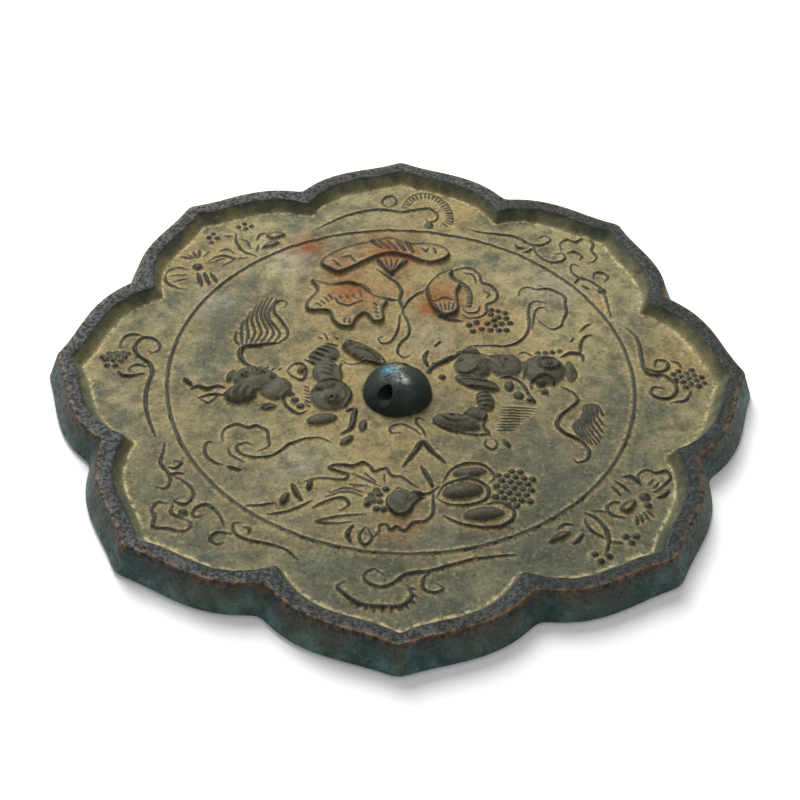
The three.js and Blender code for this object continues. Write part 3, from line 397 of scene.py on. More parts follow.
ridge([[43, 43], [44.2, 46.7], [47, 48], [50, 46.8], [53.5, 47.5], [57, 46], [60, 43], [59.8, 38.5],
      [60, 34.5], [58.4, 30], [57.3, 26.5], [54.3, 25], [51.5, 27], [49.5, 29.5]])
ridge([[53, 39.3], [50, 40.3], [47.3, 39], [46, 34], [46, 28], [45.2, 23.5], [42.5, 18.5], [38.5, 15.6],
      [32, 15.2], [24, 15]])
ridge([[53.5, 34.5], [51.8, 36.6], [49.3, 35.8], [47.8, 31], [46.8, 24.5]], 1.1, 0.7)
ridge([[-58.5, -34.5], [-59, -31], [-57.8, -27.9], [-54.5, -26.4], [-50.8, -28], [-48, -27], [-44.5, -29.3],
       [-43.8, -32.5], [-43.3, -36], [-46.8, -38.6]])
ridge([[-48, -35.8], [-51, -34.7], [-53.8, -36.5], [-52.4, -39.5], [-48, -41.2], [-43, -40.8], [-40, -38.5],
       [-36.5, -34.8], [-31, -32.3], [-26, -32.2], [-23, -33.8]])
ridge([[-61.5, -34.8], [-63.5, -35.2], [-63.7, -40], [-61, -43.5], [-57.5, -45]])
ridge([[-56.5, -36.8], [-55.7, -39.8], [-50.5, -43.8]], 1.1, 0.7)
ridge([[-56, -45.7], [-51.5, -47]], 1.9, 1.0)

# ---------------------------------------------------------------------------------------------
# The comb-backed scrolls in the far and near lobes. Each is a raised bronze stem with a crest
# of short strokes, cast in one with the ground.

ridge([[-33, 80.3], [-27, 85], [-20, 89.7], [-9, 93.3], [0, 92.2], [6, 93.7], [11, 94.6], [14, 91],
      [13, 87], [10.3, 86], [9.3, 88.5]], 1.5, 1.0)
arch = smooth([[0, 95], [1, 98], [4.5, 103.3], [10, 105], [15, 102], [18.3, 97], [19.8, 91], [20, 86],
              [16.8, 82.5]])
for t in np.linspace(0.02, 0.97, 22):
    x, y = arch[int(t * (len(arch) - 1))]
    ridge([[x, y], [x + (9.5 - x) * 0.28, y + (92 - y) * 0.28]], 1.0, 0.7)
ridge(arch[::40], 1.0, 0.6)
ridge([[-5, 95.3], [-7.8, 97.5], [-6.3, 102], [-3.3, 102.2], [-2.3, 98], [-5, 95.3]], 1.3, 0.9)
dome(10.5, 83.8, 4, 4.6, 0, 0.6)
ridge([[35, -79.6], [25, -81], [15, -84.2], [8.5, -86.6], [1.5, -88], [-3, -91.8], [-6.5, -93],
      [-10.3, -91.2], [-11.2, -88.3], [-8.3, -86.3], [-5.5, -88.3]], 1.5, 1.0)
ridge([[9, -86.8], [6.4, -90], [6.8, -93.5], [9.8, -94.8], [12.5, -93], [10.5, -91]])
ridge([[-16.8, -91], [-19, -93.2], [-17, -96], [-12.5, -99.3], [-6, -100.3], [0, -99.8], [3, -96.3],
      [1.8, -92]], 2.0, 1.0)
hem = smooth([[-14, -101], [-6, -102.5], [0.5, -101.8], [4.5, -98], [4, -93]])
for t in np.linspace(0.02, 0.98, 10):
    x, y = hem[int(t * (len(hem) - 1))]
    ridge([[x, y], [x + (-5 - x) * 0.22, y + (-92 - y) * 0.22]], 1.0, 0.6)

# ---------------------------------------------------------------------------------------------
# The blossom sprays in the back left lobe and the front right lobe: bronze stems, leaves and
# petals cast as raised lines, with beads for the buds.

bead(-76, 55, 1.8, 1.0)
comb(3, [[-75.7, 52], [-73.4, 44]], [[-71, 52], [-68, 46.5]], 2.0, 0.9)
ridge([[-79, 53.7], [-84, 54.2], [-87.3, 51.5], [-86.5, 46], [-82.5, 43], [-78.5, 42.2]])
ridge([[-86, 49.3], [-79.3, 51]], 1.0, 0.6)
ridge([[-84.3, 46], [-79, 48.3]], 1.0, 0.6)
comb(4, [[-79, 60], [-83, 61]], [[-76, 61], [-76.5, 65.5]], 1.3, 0.7)
ridge([[-74.5, 61], [-72.3, 65]], 1.1, 0.7)
ridge([[-72, 57.3], [-66, 61]], 1.0, 0.6)
ridge([[-73, 57.3], [-70, 61], [-66, 62], [-63, 60], [-67, 56.3]])
ridge([[-69, 65], [-66, 66], [-63.3, 64]])
ridge([[-63.5, 76], [-63, 71], [-60, 65.5], [-54.5, 62]])
ridge([[-62, 73], [-58.8, 71], [-57.3, 67]], 1.1, 0.7)
ridge([[-62, 60.5], [-58, 61.5]], 1.0, 0.6)
ridge([[-68, 74.5], [-64.5, 74]], 1.0, 0.6)
ridge([[-55, 65], [-54.3, 69.5]], 1.1, 0.6)
ridge([[-55.5, 72], [-54, 76], [-51.8, 76.7]])
plate([[-52, 75], [-49.5, 72.5], [-44.5, 75.5], [-48.5, 77.2]], 0.7, 0.3)
plate([[-53, 67], [-48.5, 68.3], [-46.5, 71], [-50.5, 70.6]], 0.7, 0.3)
for x, y in [(-63, 80), (-60, 79), (-58, 80.7), (-60.8, 82), (-73.5, 73), (-70.5, 72.5), (-72.3, 70),
             (-72, 75)]:
    bead(x, y, 1.0, 0.8)
bead(77.5, -55.3, 1.7, 1.0)
bead(78.2, -58.7, 1.3, 0.9)
ridge([[77, -48.5], [76.5, -45.3], [79.5, -43.2], [82.5, -44.3], [85.8, -43.5], [87, -46], [84, -50],
      [80.5, -53]])
ridge([[79.3, -49.5], [81.6, -47]], 1.0, 0.6)
ridge([[80.6, -51.3], [83, -48.5]], 1.0, 0.6)
ridge([[81.5, -55.2], [84, -54], [85.8, -51.8]], 1.8, 1.0)
ridge([[71.5, -46.5], [74.3, -46.4], [77, -50]], 1.8, 1.0)
ridge([[68.5, -48], [71, -50.5], [73, -53]])
ridge([[67.3, -50.5], [70, -54.5]])
comb(4, [[77.5, -60.5], [79.5, -63.3]], [[74, -63], [73.8, -67]], 1.3, 0.7)
plate([[74.5, -56.8], [71, -57.5], [69, -60.3], [70.8, -62], [73.3, -60]], 0.8, 0.3)
ridge([[69.5, -57.3], [67, -57.4], [65, -60], [66, -62.5], [70.5, -64]])
ridge([[60, -61], [64.5, -61.3]], 1.0, 0.6)
ridge([[64.5, -73.5], [68.5, -74.3]], 1.0, 0.6)
ridge([[57.5, -62], [61, -64], [63.8, -69.5], [64, -74], [62.5, -79]], 1.8, 1.0)
ridge([[57.3, -64.5], [58.8, -69], [63.5, -72.8]])
plate([[45.5, -74.5], [50.5, -73], [52.7, -70.2], [48.5, -71]], 0.7, 0.3)
ridge([[48.5, -69], [51, -67], [53.7, -67.2]])
ridge([[56.5, -70.5], [55, -73], [53, -74.8]], 1.8, 1.0)
for x, y in [(69.7, -71.7), (73, -71.3), (71.2, -74), (59.3, -79), (63.7, -79.5), (60.9, -81.6)]:
    bead(x, y, 1.1, 0.8)

# ---------------------------------------------------------------------------------------------
# The curling clouds in the back right lobe and the front left lobe. Like the clouds inside the
# border they are raised lines of bronze, cast with the ground.

for points in [[[25.5, 82.8], [30, 80.6], [38, 79.3], [43.5, 78.3], [47.5, 75.2], [50.5, 73.2],
               [54.5, 73.8], [57.3, 76.8], [55.3, 79.5], [52.6, 77.5]], [[50.3, 73], [51.3, 68.5],
               [54, 64.6], [58, 63], [61.8, 65], [61.3, 68.7], [58, 68.3]], [[43.5, 73.6], [44.3, 71.3],
               [47, 71.4]], [[61, 70.5], [61, 75], [64, 77.2], [66.7, 75.8], [70.5, 78.3], [73.5, 75],
               [72.5, 70.5], [74.3, 67], [72.3, 63.8], [70, 63.5]], [[63, 69], [66, 69.7], [68.6, 67],
               [67.3, 64.8]], [[67, 61.3], [64.6, 62.2], [63.7, 59], [65.5, 55.3], [70, 52.6], [73.5, 49],
               [75, 44], [75.5, 38.5], [76, 32.5]], [[71.8, 53.5], [72.3, 56.8], [75, 57.6], [77.3, 55.3],
               [75.5, 52.2]], [[67, 50], [69.6, 47.6]], [[64.3, 50.8], [66.5, 54]], [[46, 68.5],
               [48.5, 69.5], [50, 71.5]], [[-77.4, -35], [-77.3, -40], [-77.6, -44.5], [-74.6, -49],
               [-73.5, -52.5], [-74.8, -55.7], [-78, -54.8]], [[-73.5, -43.2], [-71, -44.4], [-72.6, -46.8],
               [-75, -46.3]], [[-74.5, -49.4], [-69.5, -48.9]], [[-72, -50.5], [-67.5, -54], [-65.5, -58],
               [-67.5, -61.8], [-71.2, -60.8], [-69.5, -58.8]], [[-73, -62], [-76.4, -61.3], [-77.8, -64.5],
               [-76.6, -67.5], [-76.6, -71.3], [-72, -72], [-66.7, -73], [-65, -70.3], [-67, -68]],
               [[-71.5, -62.5], [-71.7, -65.5], [-67.5, -68.2]], [[-61.5, -66.5], [-64.6, -67],
               [-64.5, -63.8], [-61, -62], [-58, -64.5], [-56, -67.5], [-55, -70.5]], [[-49.8, -68.8],
               [-52, -69.5], [-51.2, -73.3], [-47.5, -75.8], [-41, -77.3], [-36, -79], [-31, -83.5]],
               [[-52, -73.6], [-56.5, -73.2], [-58.6, -75.5], [-56.3, -78], [-54.2, -77]], [[-48.8, -70.8],
               [-46.8, -71.6], [-47.2, -73.4]]]:
    ridge(points, 1.4, 0.85)
bead(74.2, 46.8, 1.5)
bead(-68, -65.5, 1.4)

# ---------------------------------------------------------------------------------------------
# The bunches of grapes on long stems in the left and right lobes: round beads of bronze packed
# together, and stems cast as stout raised lines.

ridge([[-80.5, -33], [-83.5, -26], [-85.8, -18], [-86.3, -9], [-85.6, -3], [-87, 2], [-91.5, 6],
      [-93.3, 10.5], [-90.8, 15], [-86.6, 14.3], [-84.5, 10.3], [-86.3, 7.6], [-88.8, 8.8]], 1.8, 1.1)
ridge([[-98.5, 10], [-97.6, 15], [-94, 16.8], [-90.5, 15.8]], 1.3, 0.9)
ridge([[-87.5, 0.3], [-91.5, 1.4], [-93.6, -0.7], [-93, -2.5]])
ridge([[-97.4, -2], [-95, -4.4], [-91.5, -4.4], [-88.3, -3.2]], 1.9, 1.0)
for x, y in [(-101.5, 6.5), (-99.3, 6.8), (-97.2, 6.8), (-95.2, 6.7), (-103.5, 4.5), (-101, 4.6),
             (-98.3, 5), (-96, 4.7), (-102.3, 3), (-99.5, 3), (-97, 2.6), (-101.3, 0.5), (-98.6, 0.5)]:
    bead(x, y, 1.1, 0.9)
ridge([[80.8, 27], [84, 21], [84.6, 13], [84.6, 6], [86.5, 2], [91, 1.6], [94.6, -2.5], [93.4, -8],
      [89, -9.7], [85.6, -7.3], [87.2, -3.8], [90.4, -4.8]], 1.8, 1.1)
ridge([[85.3, 5.3], [89, 3.7], [93, 5.6], [92.8, 9.2], [89.3, 9.2], [88.8, 6.6]], 1.7, 1.0)
ridge([[94.5, 9.5], [97, 8.3], [98, 6]])
ridge([[91.5, -11.5], [97, -10.2], [99.8, -5.5]])
cluster(99.7, 0.4, 5.4, 5.0, -20, 2.7, 1.1)

# ---------------------------------------------------------------------------------------------
# The border: a thin raised line of bronze between the middle of the field and the lobes, round
# and true, and cast in one with the rest.

BORDER_RADIUS = 80.3
BORDER_HALF_WIDTH = 0.75
BORDER_HEIGHT = 0.75
around = np.linspace(0, tau, 2400)
circle = BORDER_RADIUS * np.stack([np.cos(around), np.sin(around)], axis=1)
press(lines, circle, np.full(len(around), BORDER_HALF_WIDTH), np.full(len(around), BORDER_HEIGHT))

# ---------------------------------------------------------------------------------------------
# The casting itself: a shallow dish of bronze with an eight-lobed raised rim, poured in one with
# its figures. It is a grid of spokes by rings wrapped round the middle, pressed to the drawing.

SPOKES = 1440
RIM_HEIGHT = 5
BAND_DROP = 0.5
CREST_HEIGHT = FIELD_HEIGHT + RIM_HEIGHT
BAND_HEIGHT = CREST_HEIGHT - BAND_DROP
CREST_ROUNDING = 0.7
CREST_START = 0.92
FOOT_ROUNDING = 1.6
SHOULDER_POWER = 3.5
POINT_FADE = 6
WALL_OUTLINE = (109.7, 7.8, 4.0, 0.06)
CREST_OUTLINE = (105.0, 8.2, 4.8, 0.04)
BAND_OUTLINE = (97.0, 11.4, 4.6, 0.02)
FIELD_OUTLINE = (93.5, 10.8, 4.8, 0.02)
# bearing of each lobe's point, and how far it falls past or short of an even outline
LOBE_POINTS = np.array([(-0.6, 0.3), (44.2, -1.6), (90.2, 0.9), (133.7, 0.4), (180.2, 0), (224.7, 0.2),
                        (269.7, -0.2), (314.7, 0), (359.4, 0.3)])


def lobed(outline, angle):
    """Radius of a ring of bracket-shaped lobes: notch, shoulder, point and how blunt its corners are."""
    notch, shoulder, point, blunt = outline
    points, reaches = LOBE_POINTS.T
    bearing = (np.degrees(angle) - points[0]) % 360 + points[0]
    lobe = np.clip(np.searchsorted(points, bearing, side="right") - 1, 0, len(points) - 2)
    share = (bearing - points[lobe]) / (points[lobe + 1] - points[lobe])
    off = 1 - np.abs(1 - 2 * share)
    from_point = np.hypot(off, blunt) - blunt
    from_notch = np.hypot(1 - off, blunt) - blunt
    reach = reaches[lobe] * (1 - share) + reaches[lobe + 1] * share
    swell = shoulder * (1 - (1 - from_notch) ** SHOULDER_POWER)
    return notch + reach + swell + point * np.exp(-POINT_FADE * from_point)


def across(outer, inner, share, angle):
    """A ring that stands some share of the way from an inner outline to an outer one."""
    return lobed(inner, angle) * (1 - share) + lobed(outer, angle) * share


# Rings stand a fixed step apart as far as OPEN_FIELD, then follow the lobes out to the slope.
OPEN_FIELD = 84
RING_STEP = 0.4
angle = np.linspace(0, tau, SPOKES + 1)
level = np.ones_like(angle)
rings = []
for radius in np.arange(0, OPEN_FIELD, RING_STEP):
    rings.append((radius * level, FIELD_HEIGHT * level))
for share in np.linspace(0, 1, 46)[:-1]:
    rings.append((OPEN_FIELD + (lobed(FIELD_OUTLINE, angle) - OPEN_FIELD) * share, FIELD_HEIGHT * level))
for share in np.linspace(0, 1, 15):
    rise = share**2 * (2 - share)
    rings.append((across(BAND_OUTLINE, FIELD_OUTLINE, share, angle),
                  (FIELD_HEIGHT + (BAND_HEIGHT - FIELD_HEIGHT) * rise) * level))
field_rings = len(rings)
for share in np.linspace(0, CREST_START, 18)[1:]:
    rings.append((across(CREST_OUTLINE, BAND_OUTLINE, share, angle),
                  (BAND_HEIGHT + BAND_DROP * sin(pi / 2 * share)) * level))
for turn in np.linspace(0, pi / 2, 6)[1:]:
    rings.append((across(CREST_OUTLINE, BAND_OUTLINE, CREST_START + (1 - CREST_START) * sin(turn), angle),
                  (CREST_HEIGHT - CREST_ROUNDING * (1 - cos(turn))) * level))
wall_top = CREST_HEIGHT - CREST_ROUNDING
for share in np.linspace(0, 1, 18)[1:]:
    rings.append((across(WALL_OUTLINE, CREST_OUTLINE, share, angle),
                  (wall_top + (FOOT_ROUNDING - wall_top) * share) * level))
for turn in np.linspace(0, pi / 2, 7)[1:]:
    rings.append((lobed(WALL_OUTLINE, angle) - FOOT_ROUNDING * (1 - cos(turn)),
                  FOOT_ROUNDING * (1 - sin(turn)) * level))
for share in (0.8, 0.5, 0.25, 0):
    rings.append(((lobed(WALL_OUTLINE, angle) - FOOT_ROUNDING) * share, 0 * level))


def soften(layer, radius, passes=2):
    """The layer blurred by box means of that radius in millimetres."""
    reach = max(1, int(radius / CELL))
    for axis in [0, 1] * passes:
        padded = np.pad(layer, [(reach + 1, reach) if k == axis else (0, 0) for k in (0, 1)], "edge")
        total = np.cumsum(padded, axis=axis, dtype=np.float64)
        ahead = np.take(total, range(2 * reach + 1, total.shape[axis]), axis=axis)
        behind = np.take(total, range(0, total.shape[axis] - 2 * reach - 1), axis=axis)
        layer = ((ahead - behind) / (2 * reach + 1)).astype(np.float32)
    return layer


# the cast ground is never dead flat: low swells a few millimetres across
SWELL_HEIGHT = 0.1
chance = np.random.default_rng(11)
swells = soften(chance.normal(size=(side, side)).astype(np.float32), 1.2, 2)
swells = SWELL_HEIGHT * swells / swells.std()
# the masses, lines and cuts, each rounded a little and drawn somewhat bolder than on their sheet
relief = 1.25 * soften(masses, 0.3, 1) + 1.15 * soften(lines, 0.2, 1) - 1.5 * soften(cuts, 0.2, 1) + swells


def sample(layer, x, y):
    """The layer's value at places on the drawing, between its cells."""
    column = np.clip((x + REACH) / CELL, 0, side - 1.001)
    row = np.clip((y + REACH) / CELL, 0, side - 1.001)
    left, below = column.astype(int), row.astype(int)
    u, v = column - left, row - below
    return (layer[below, left] * (1 - u) * (1 - v) + layer[below, left + 1] * u * (1 - v)
            + layer[below + 1, left] * (1 - u) * v + layer[below + 1, left + 1] * u * v)


radius = np.array([ring[0] for ring in rings])
height = np.array([ring[1] for ring in rings])
x = radius * np.cos(angle)
y = radius * np.sin(angle)
height[:field_rings] += sample(relief, x[:field_rings], y[:field_rings])

casting_bm = bmesh.new()
bmesh.ops.create_grid(casting_bm, x_segments=SPOKES, y_segments=len(rings) - 1, size=1)
casting_mesh = bpy.data.meshes.new("mirror_casting")
casting_bm.to_mesh(casting_mesh)
spot = np.zeros(len(casting_mesh.vertices) * 3)
casting_mesh.vertices.foreach_get("co", spot)
spot = spot.reshape(-1, 3)
spoke = np.round((spot[:, 0] + 1) / 2 * SPOKES).astype(int)
ring = np.round((1 - spot[:, 1]) / 2 * (len(rings) - 1)).astype(int)
spot = np.stack([x[ring, spoke], y[ring, spoke], height[ring, spoke]], axis=1)
casting_mesh.vertices.foreach_set("co", spot.ravel())
casting_bm.free()
casting_bm = bmesh.new()
casting_bm.from_mesh(casting_mesh)
bmesh.ops.remove_doubles(casting_bm, verts=casting_bm.verts, dist=0.001)
casting_bm.to_mesh(casting_mesh)
casting_bm.free()
casting = bpy.data.objects.new("mirror_casting", casting_mesh)
bpy.context.scene.collection.objects.link(casting)

TRIANGLES = 180_000
thin = casting.modifiers.new("thin out", "DECIMATE")
thin.ratio = TRIANGLES / (2 * len(casting_mesh.polygons))


def applied(piece):
    """Replaces a piece's mesh by what its modifiers make of it."""
    made = bpy.data.meshes.new_from_object(piece.evaluated_get(bpy.context.evaluated_depsgraph_get()))
    piece.modifiers.clear()
    old = piece.data
    piece.data = made
    bpy.data.meshes.remove(old)


applied(casting)

# the knob, with the cord hole drilled level through it
KNOB = Vector((-1.4, -9.7, FIELD_HEIGHT))
KNOB_RADIUS = 11.7
HOLE_WIDTH = 5.2
HOLE_HEIGHT = 4.7
HOLE_MIDDLE = 5.9
knob_bm = bmesh.new()
profile = [knob_bm.verts.new((KNOB_RADIUS * cos(rise), 0, KNOB_HEIGHT * sin(rise)))
           for rise in np.linspace(0, pi / 2, 25)]
profile.insert(0, knob_bm.verts.new((KNOB_RADIUS, 0, -1)))
edges = [knob_bm.edges.new(pair) for pair in zip(profile, profile[1:])]
bmesh.ops.spin(knob_bm, geom=profile + edges, axis=(0, 0, 1), angle=tau, steps=96, use_merge=True)
bmesh.ops.remove_doubles(knob_bm, verts=knob_bm.verts, dist=0.001)
bmesh.ops.holes_fill(knob_bm, edges=knob_bm.edges, sides=0)
bmesh.ops.recalc_face_normals(knob_bm, faces=knob_bm.faces)
bmesh.ops.translate(knob_bm, verts=knob_bm.verts, vec=KNOB)
knob_mesh = bpy.data.meshes.new("knob")
knob_bm.to_mesh(knob_mesh)
knob_bm.free()
knob = bpy.data.objects.new("knob", knob_mesh)
bpy.context.scene.collection.objects.link(knob)

# two tools cut the hole: a drill right through, and a taper that flares the near mouth
cutters = []
for name, wide, narrow, length, middle in [("drill", 1, 1, 32, 0), ("flare", 1.5, 0.5, 8, 8.6)]:
    cutter_bm = bmesh.new()
    bmesh.ops.create_cone(cutter_bm, segments=40, radius1=narrow, radius2=wide, depth=length, cap_ends=True)
    bmesh.ops.scale(cutter_bm, verts=cutter_bm.verts, vec=(HOLE_WIDTH / 2, HOLE_HEIGHT / 2, 1))
    bmesh.ops.translate(cutter_bm, verts=cutter_bm.verts, vec=(0, 0, middle))
    bmesh.ops.rotate(cutter_bm, verts=cutter_bm.verts, matrix=Matrix.Rotation(pi / 2, 3, "X"))
    bmesh.ops.rotate(cutter_bm, verts=cutter_bm.verts, matrix=Matrix.Rotation(-CORD_BEARING, 3, "Z"))
    bmesh.ops.translate(cutter_bm, verts=cutter_bm.verts, vec=KNOB + Vector((0, 0, HOLE_MIDDLE)))
    cutter_mesh = bpy.data.meshes.new(name)
    cutter_bm.to_mesh(cutter_mesh)
    cutter_bm.free()
    cutter = bpy.data.objects.new(name, cutter_mesh)
    bpy.context.scene.collection.objects.link(cutter)
    cutters.append(cutter)

for tool, operation in [(knob, "UNION"), (cutters[0], "DIFFERENCE"), (cutters[1], "DIFFERENCE")]:
    cut = casting.modifiers.new(tool.name, "BOOLEAN")
    cut.object = tool
    cut.operation = operation
    cut.solver = "EXACT"
applied(casting)
for tool in (knob, *cutters):
    bpy.data.objects.remove(tool)
casting_mesh = casting.data

# the places of wear, crust, rust and tone on the casting, with a painted highlight on the knob's top, each
# kept as a share from 0 to 1
spot = np.zeros(len(casting_mesh.vertices) * 3)
casting_mesh.vertices.foreach_get("co", spot)
x, y, z = spot.reshape(-1, 3).T
radius = np.hypot(x, y)
angle = np.arctan2(y, x)
slope_foot, band_edge, crest_edge = (lobed(o, angle) for o in (FIELD_OUTLINE, BAND_OUTLINE, CREST_OUTLINE))
above = np.clip((z - FIELD_HEIGHT + 0.8) * 2, 0, 1)
inside = np.clip((slope_foot - radius) * 1.5, 0, 1) * above
off_knob = np.clip((np.hypot(x - KNOB.x, y - KNOB.y) - KNOB_RADIUS) * 2, 0, 1)
figures = sample(rubbed, x, y) * inside * off_knob
beside = sample(soften(rubbed, 0.8, 2), x, y) * inside
wide_beside = sample(soften(rubbed, 3.0, 2), x, y) * inside


def soft_spots(places):
    """Soft round spots for stains, crusts and the painted highlight on the knob: the middle, radius and
    strength of each.
    """
    share = np.zeros_like(x)
    for place_x, place_y, reach, strength in places:
        share = np.maximum(share, strength * np.exp(-((x - place_x) ** 2 + (y - place_y) ** 2) / reach**2))
    return share * above


marks = {
    "ground": inside * (1 - figures) * off_knob,
    "warm": soft_spots([(0, 15, 48, 0.6), (-80, 60, 18, 0.6), (20, 92, 24, 0.6), (95, 10, 14, 0.6),
                     (0, -38, 18, 0.5)]),
    "figures": figures,
    "beside": np.clip(2.4 * (beside - figures * 0.6), 0, 1),
    "near": np.clip(2.2 * wide_beside, 0, 1),
    "knob": (1 - off_knob) * above,
    "slope": np.clip((radius - slope_foot) / (band_edge - slope_foot), 0, 1) * above,
    "slope_foot": np.exp(-(((radius - slope_foot - 0.2) / 0.5) ** 2)) * above,
    "band": np.clip((radius - band_edge + 0.6) * 1.4, 0, 1) * above,
    "crest": (np.exp(-(((radius - crest_edge + 0.5) / 0.8) ** 2))
              * np.clip((z - CREST_HEIGHT + 1.2) * 1.5, 0, 1)),
    "wall": np.clip((radius - crest_edge - 0.1) * 2, 0, 1) * np.clip((CREST_HEIGHT - 0.6 - z) * 2, 0, 1),
    "rust": soft_spots([(-4, 66, 10, 0.9), (-18, 43, 9, 0.8), (15, 40, 8, 0.7), (10, 35, 4, 1),
                     (-36, 69.5, 6, 0.8), (-22, 55, 9, 0.5), (30, 29, 8, 0.4), (-2, 47, 6, 0.4),
                     (0, -70, 7, 0.3)]),
    "cool": np.clip(soft_spots([(-60, 24, 17, 0.9), (46, -60, 38, 0.75), (70, -18, 26, 0.6),
                             (-70, -50, 22, 0.55), (-6, -88, 24, 0.6), (62, 60, 18, 0.35),
                             (-92, 6, 12, 0.6)])
                    # besides its stains, the cool tone grows darker towards the front of the mirror
                    + np.clip(-y / 260, 0, 0.35) * above, 0, 1),
    "pale": soft_spots([(-68, 34, 6, 0.9), (8, 18, 10, 0.35), (55, 50, 11, 0.35), (-45, 62, 10, 0.3),
                     (-32, -43, 7, 0.3)]),
    "blue_crust": soft_spots([(KNOB.x - 3.2, KNOB.y + 2.2, 2.2, 1), (KNOB.x - 1.4, KNOB.y + 0.8, 1.6, 1)]),
    "ochre_crust": soft_spots([(KNOB.x + 0.2, KNOB.y + 3.6, 1.8, 1), (KNOB.x - 1.2, KNOB.y + 4.6, 1.4, 0.8)]),
    # the white crust mark: its first spot, on the front right of the knob's top, is a painted highlight; its
    # second is a pale crust on the field
    "white_crust_and_painted_highlight": soft_spots([(KNOB.x + 1.6, KNOB.y - 2.6, 2.0, 1), (-78.5, -79, 1.5, 1)]),
}
for name, share in marks.items():
    casting_mesh.attributes.new(name, "FLOAT", "POINT").data.foreach_set("value", share.astype(np.float32))
casting_mesh.transform(Matrix.Rotation(CORD_BEARING, 4, "Z") @ Matrix.Scale(MM, 4))
casting_mesh.shade_smooth()

# Buried tin bronze: the ground holds a matt clay-coloured crust, and the parts that hands and
# cloths reach are rubbed to a dark green-black patina with a dull shine.
patina = bpy.data.materials.new("patinated_bronze")
patina.use_nodes = True
shader = patina.node_tree.nodes["Principled BSDF"]


def colour(code):
    """A hex colour as the linear values that a node takes."""
    parts = [int(code[i:i + 2], 16) / 255 for i in (1, 3, 5)]
    return (*[part / 12.92 if part <= 0.04045 else ((part + 0.055) / 1.055) ** 2.4 for part in parts], 1)


def node(kind, sockets, **settings):
    """Adds a node to the patina with its settings, and its sockets' values and links."""
    made = patina.node_tree.nodes.new(kind)
    for name, value in settings.items():
        setattr(made, name, value)
    for socket, source in sockets.items():
        if isinstance(source, bpy.types.NodeSocket):
            patina.node_tree.links.new(source, made.inputs[socket])
        else:
            made.inputs[socket].default_value = source
    return made


place = node("ShaderNodeMapping", {"Vector": node("ShaderNodeTexCoord", {}).outputs["Object"],
                                   "Rotation": (0, 0, -CORD_BEARING), "Scale": (1 / MM, 1 / MM, 1 / MM)})
# each noise by the size of its blotches in millimetres
noises = {}
for name, size, detail, roughness in [("patches", 26, 3, 0.6), ("clouds", 7, 5, 0.62),
                                      ("grain", 1.3, 4, 0.65), ("crumbs", 2.6, 3, 0.6)]:
    noise = node("ShaderNodeTexNoise", {"Vector": place.outputs[0], "Scale": 1 / size, "Detail": detail,
                                        "Roughness": roughness})
    noises[name] = noise.outputs[0]
PORE_GAP = 1.7
pores = node("ShaderNodeTexVoronoi", {"Vector": place.outputs[0], "Scale": 1 / PORE_GAP}).outputs["Distance"]

# each share of a noise: how much of it shows, from where it starts to where it is full
shares = {}
for name, source, start, full, most in [
    ("grey patches", noises["patches"], 0.42, 0.62, 0.75),
    ("light clouds", noises["clouds"], 0.48, 0.66, 0.6),
    ("dark clouds", noises["clouds"], 0.5, 0.32, 0.55),
    ("fine dark", noises["grain"], 0.5, 0.3, 0.45),
    ("fine light", noises["grain"], 0.56, 0.72, 0.5),
    ("pits", pores, 0.24, 0.08, 0.75),
    ("broken", noises["crumbs"], 0.38, 0.6, 1),
    ("broken finely", noises["grain"], 0.36, 0.56, 1),
]:
    shares[name] = node("ShaderNodeMapRange", {"Value": source, "From Min": start, "From Max": full,
                                               "To Max": most}).outputs[0]

# coats from the ground up: which mark on the casting, which noise breaks it, how strong, its colour
coats = [
    (None, "grey patches", 1.3, "#585b4a"),
    (None, "light clouds", 0.8, "#a59a72"),
    ("pale", None, 0.8, "#b6b6a6"),
    ("cool", None, 1, "#434a40"),
    ("warm", None, 0.7, "#8f7640"),
    ("near", None, 0.4, "#86703c"),
    (None, "dark clouds", 1.2, "#3f4134"),
    ("beside", "broken finely", 0.5, "#bcab7c"),
    ("rust", None, 1, "#84480f"),
    ("figures", None, 0.75, "#2c3328"),
    ("figures", "broken finely", 1, "#14160f"),
    ("slope", None, 0.85, "#454c3a"),
    ("slope", "broken", 0.7, "#26342e"),
    ("slope", "light clouds", 0.5, "#8a7d57"),
    ("slope_foot", "broken", 0.85, "#c3b283"),
    ("band", None, 1, "#101a15"),
    ("band", "light clouds", 0.2, "#3a3a28"),
    ("crest", "broken", 0.6, "#77583a"),
    ("wall", None, 1, "#1f3d38"),
    ("wall", "light clouds", 0.7, "#5b8078"),
    ("wall", "dark clouds", 1, "#182421"),
    ("wall", "grey patches", 0.4, "#565563"),
    ("knob", None, 1, "#1b2620"),
    ("knob", "light clouds", 0.5, "#43524a"),
    ("ochre_crust", "broken finely", 0.9, "#8a8355"),
    ("blue_crust", "broken finely", 1, "#3f8496"),
    # a painted highlight on the front right of the knob's top, and one pale crust spot on the field
    ("white_crust_and_painted_highlight", "broken", 0.9, "#b9b7ae"),
    (None, "fine dark", 0.85, "#201f14"),
    ("ground", "fine light", 0.5, "#c2b795"),
    (None, "pits", 0.8, "#201e13"),
]
coat = None
for mark, noise, strength, code in coats:
    share = strength
    if mark:
        marked = node("ShaderNodeAttribute", {}, attribute_name=mark).outputs["Fac"]
        share = node("ShaderNodeMath", {0: marked, 1: share}, operation="MULTIPLY").outputs[0]
    if noise:
        share = node("ShaderNodeMath", {0: shares[noise], 1: share}, operation="MULTIPLY").outputs[0]
    coat = node("ShaderNodeMix", {0: share, 6: coat or colour("#8b825c"), 7: colour(code)},
                data_type="RGBA").outputs[2]
patina.node_tree.links.new(coat, shader.inputs["Base Color"])
shader.inputs["Specular IOR Level"].default_value = 0.3

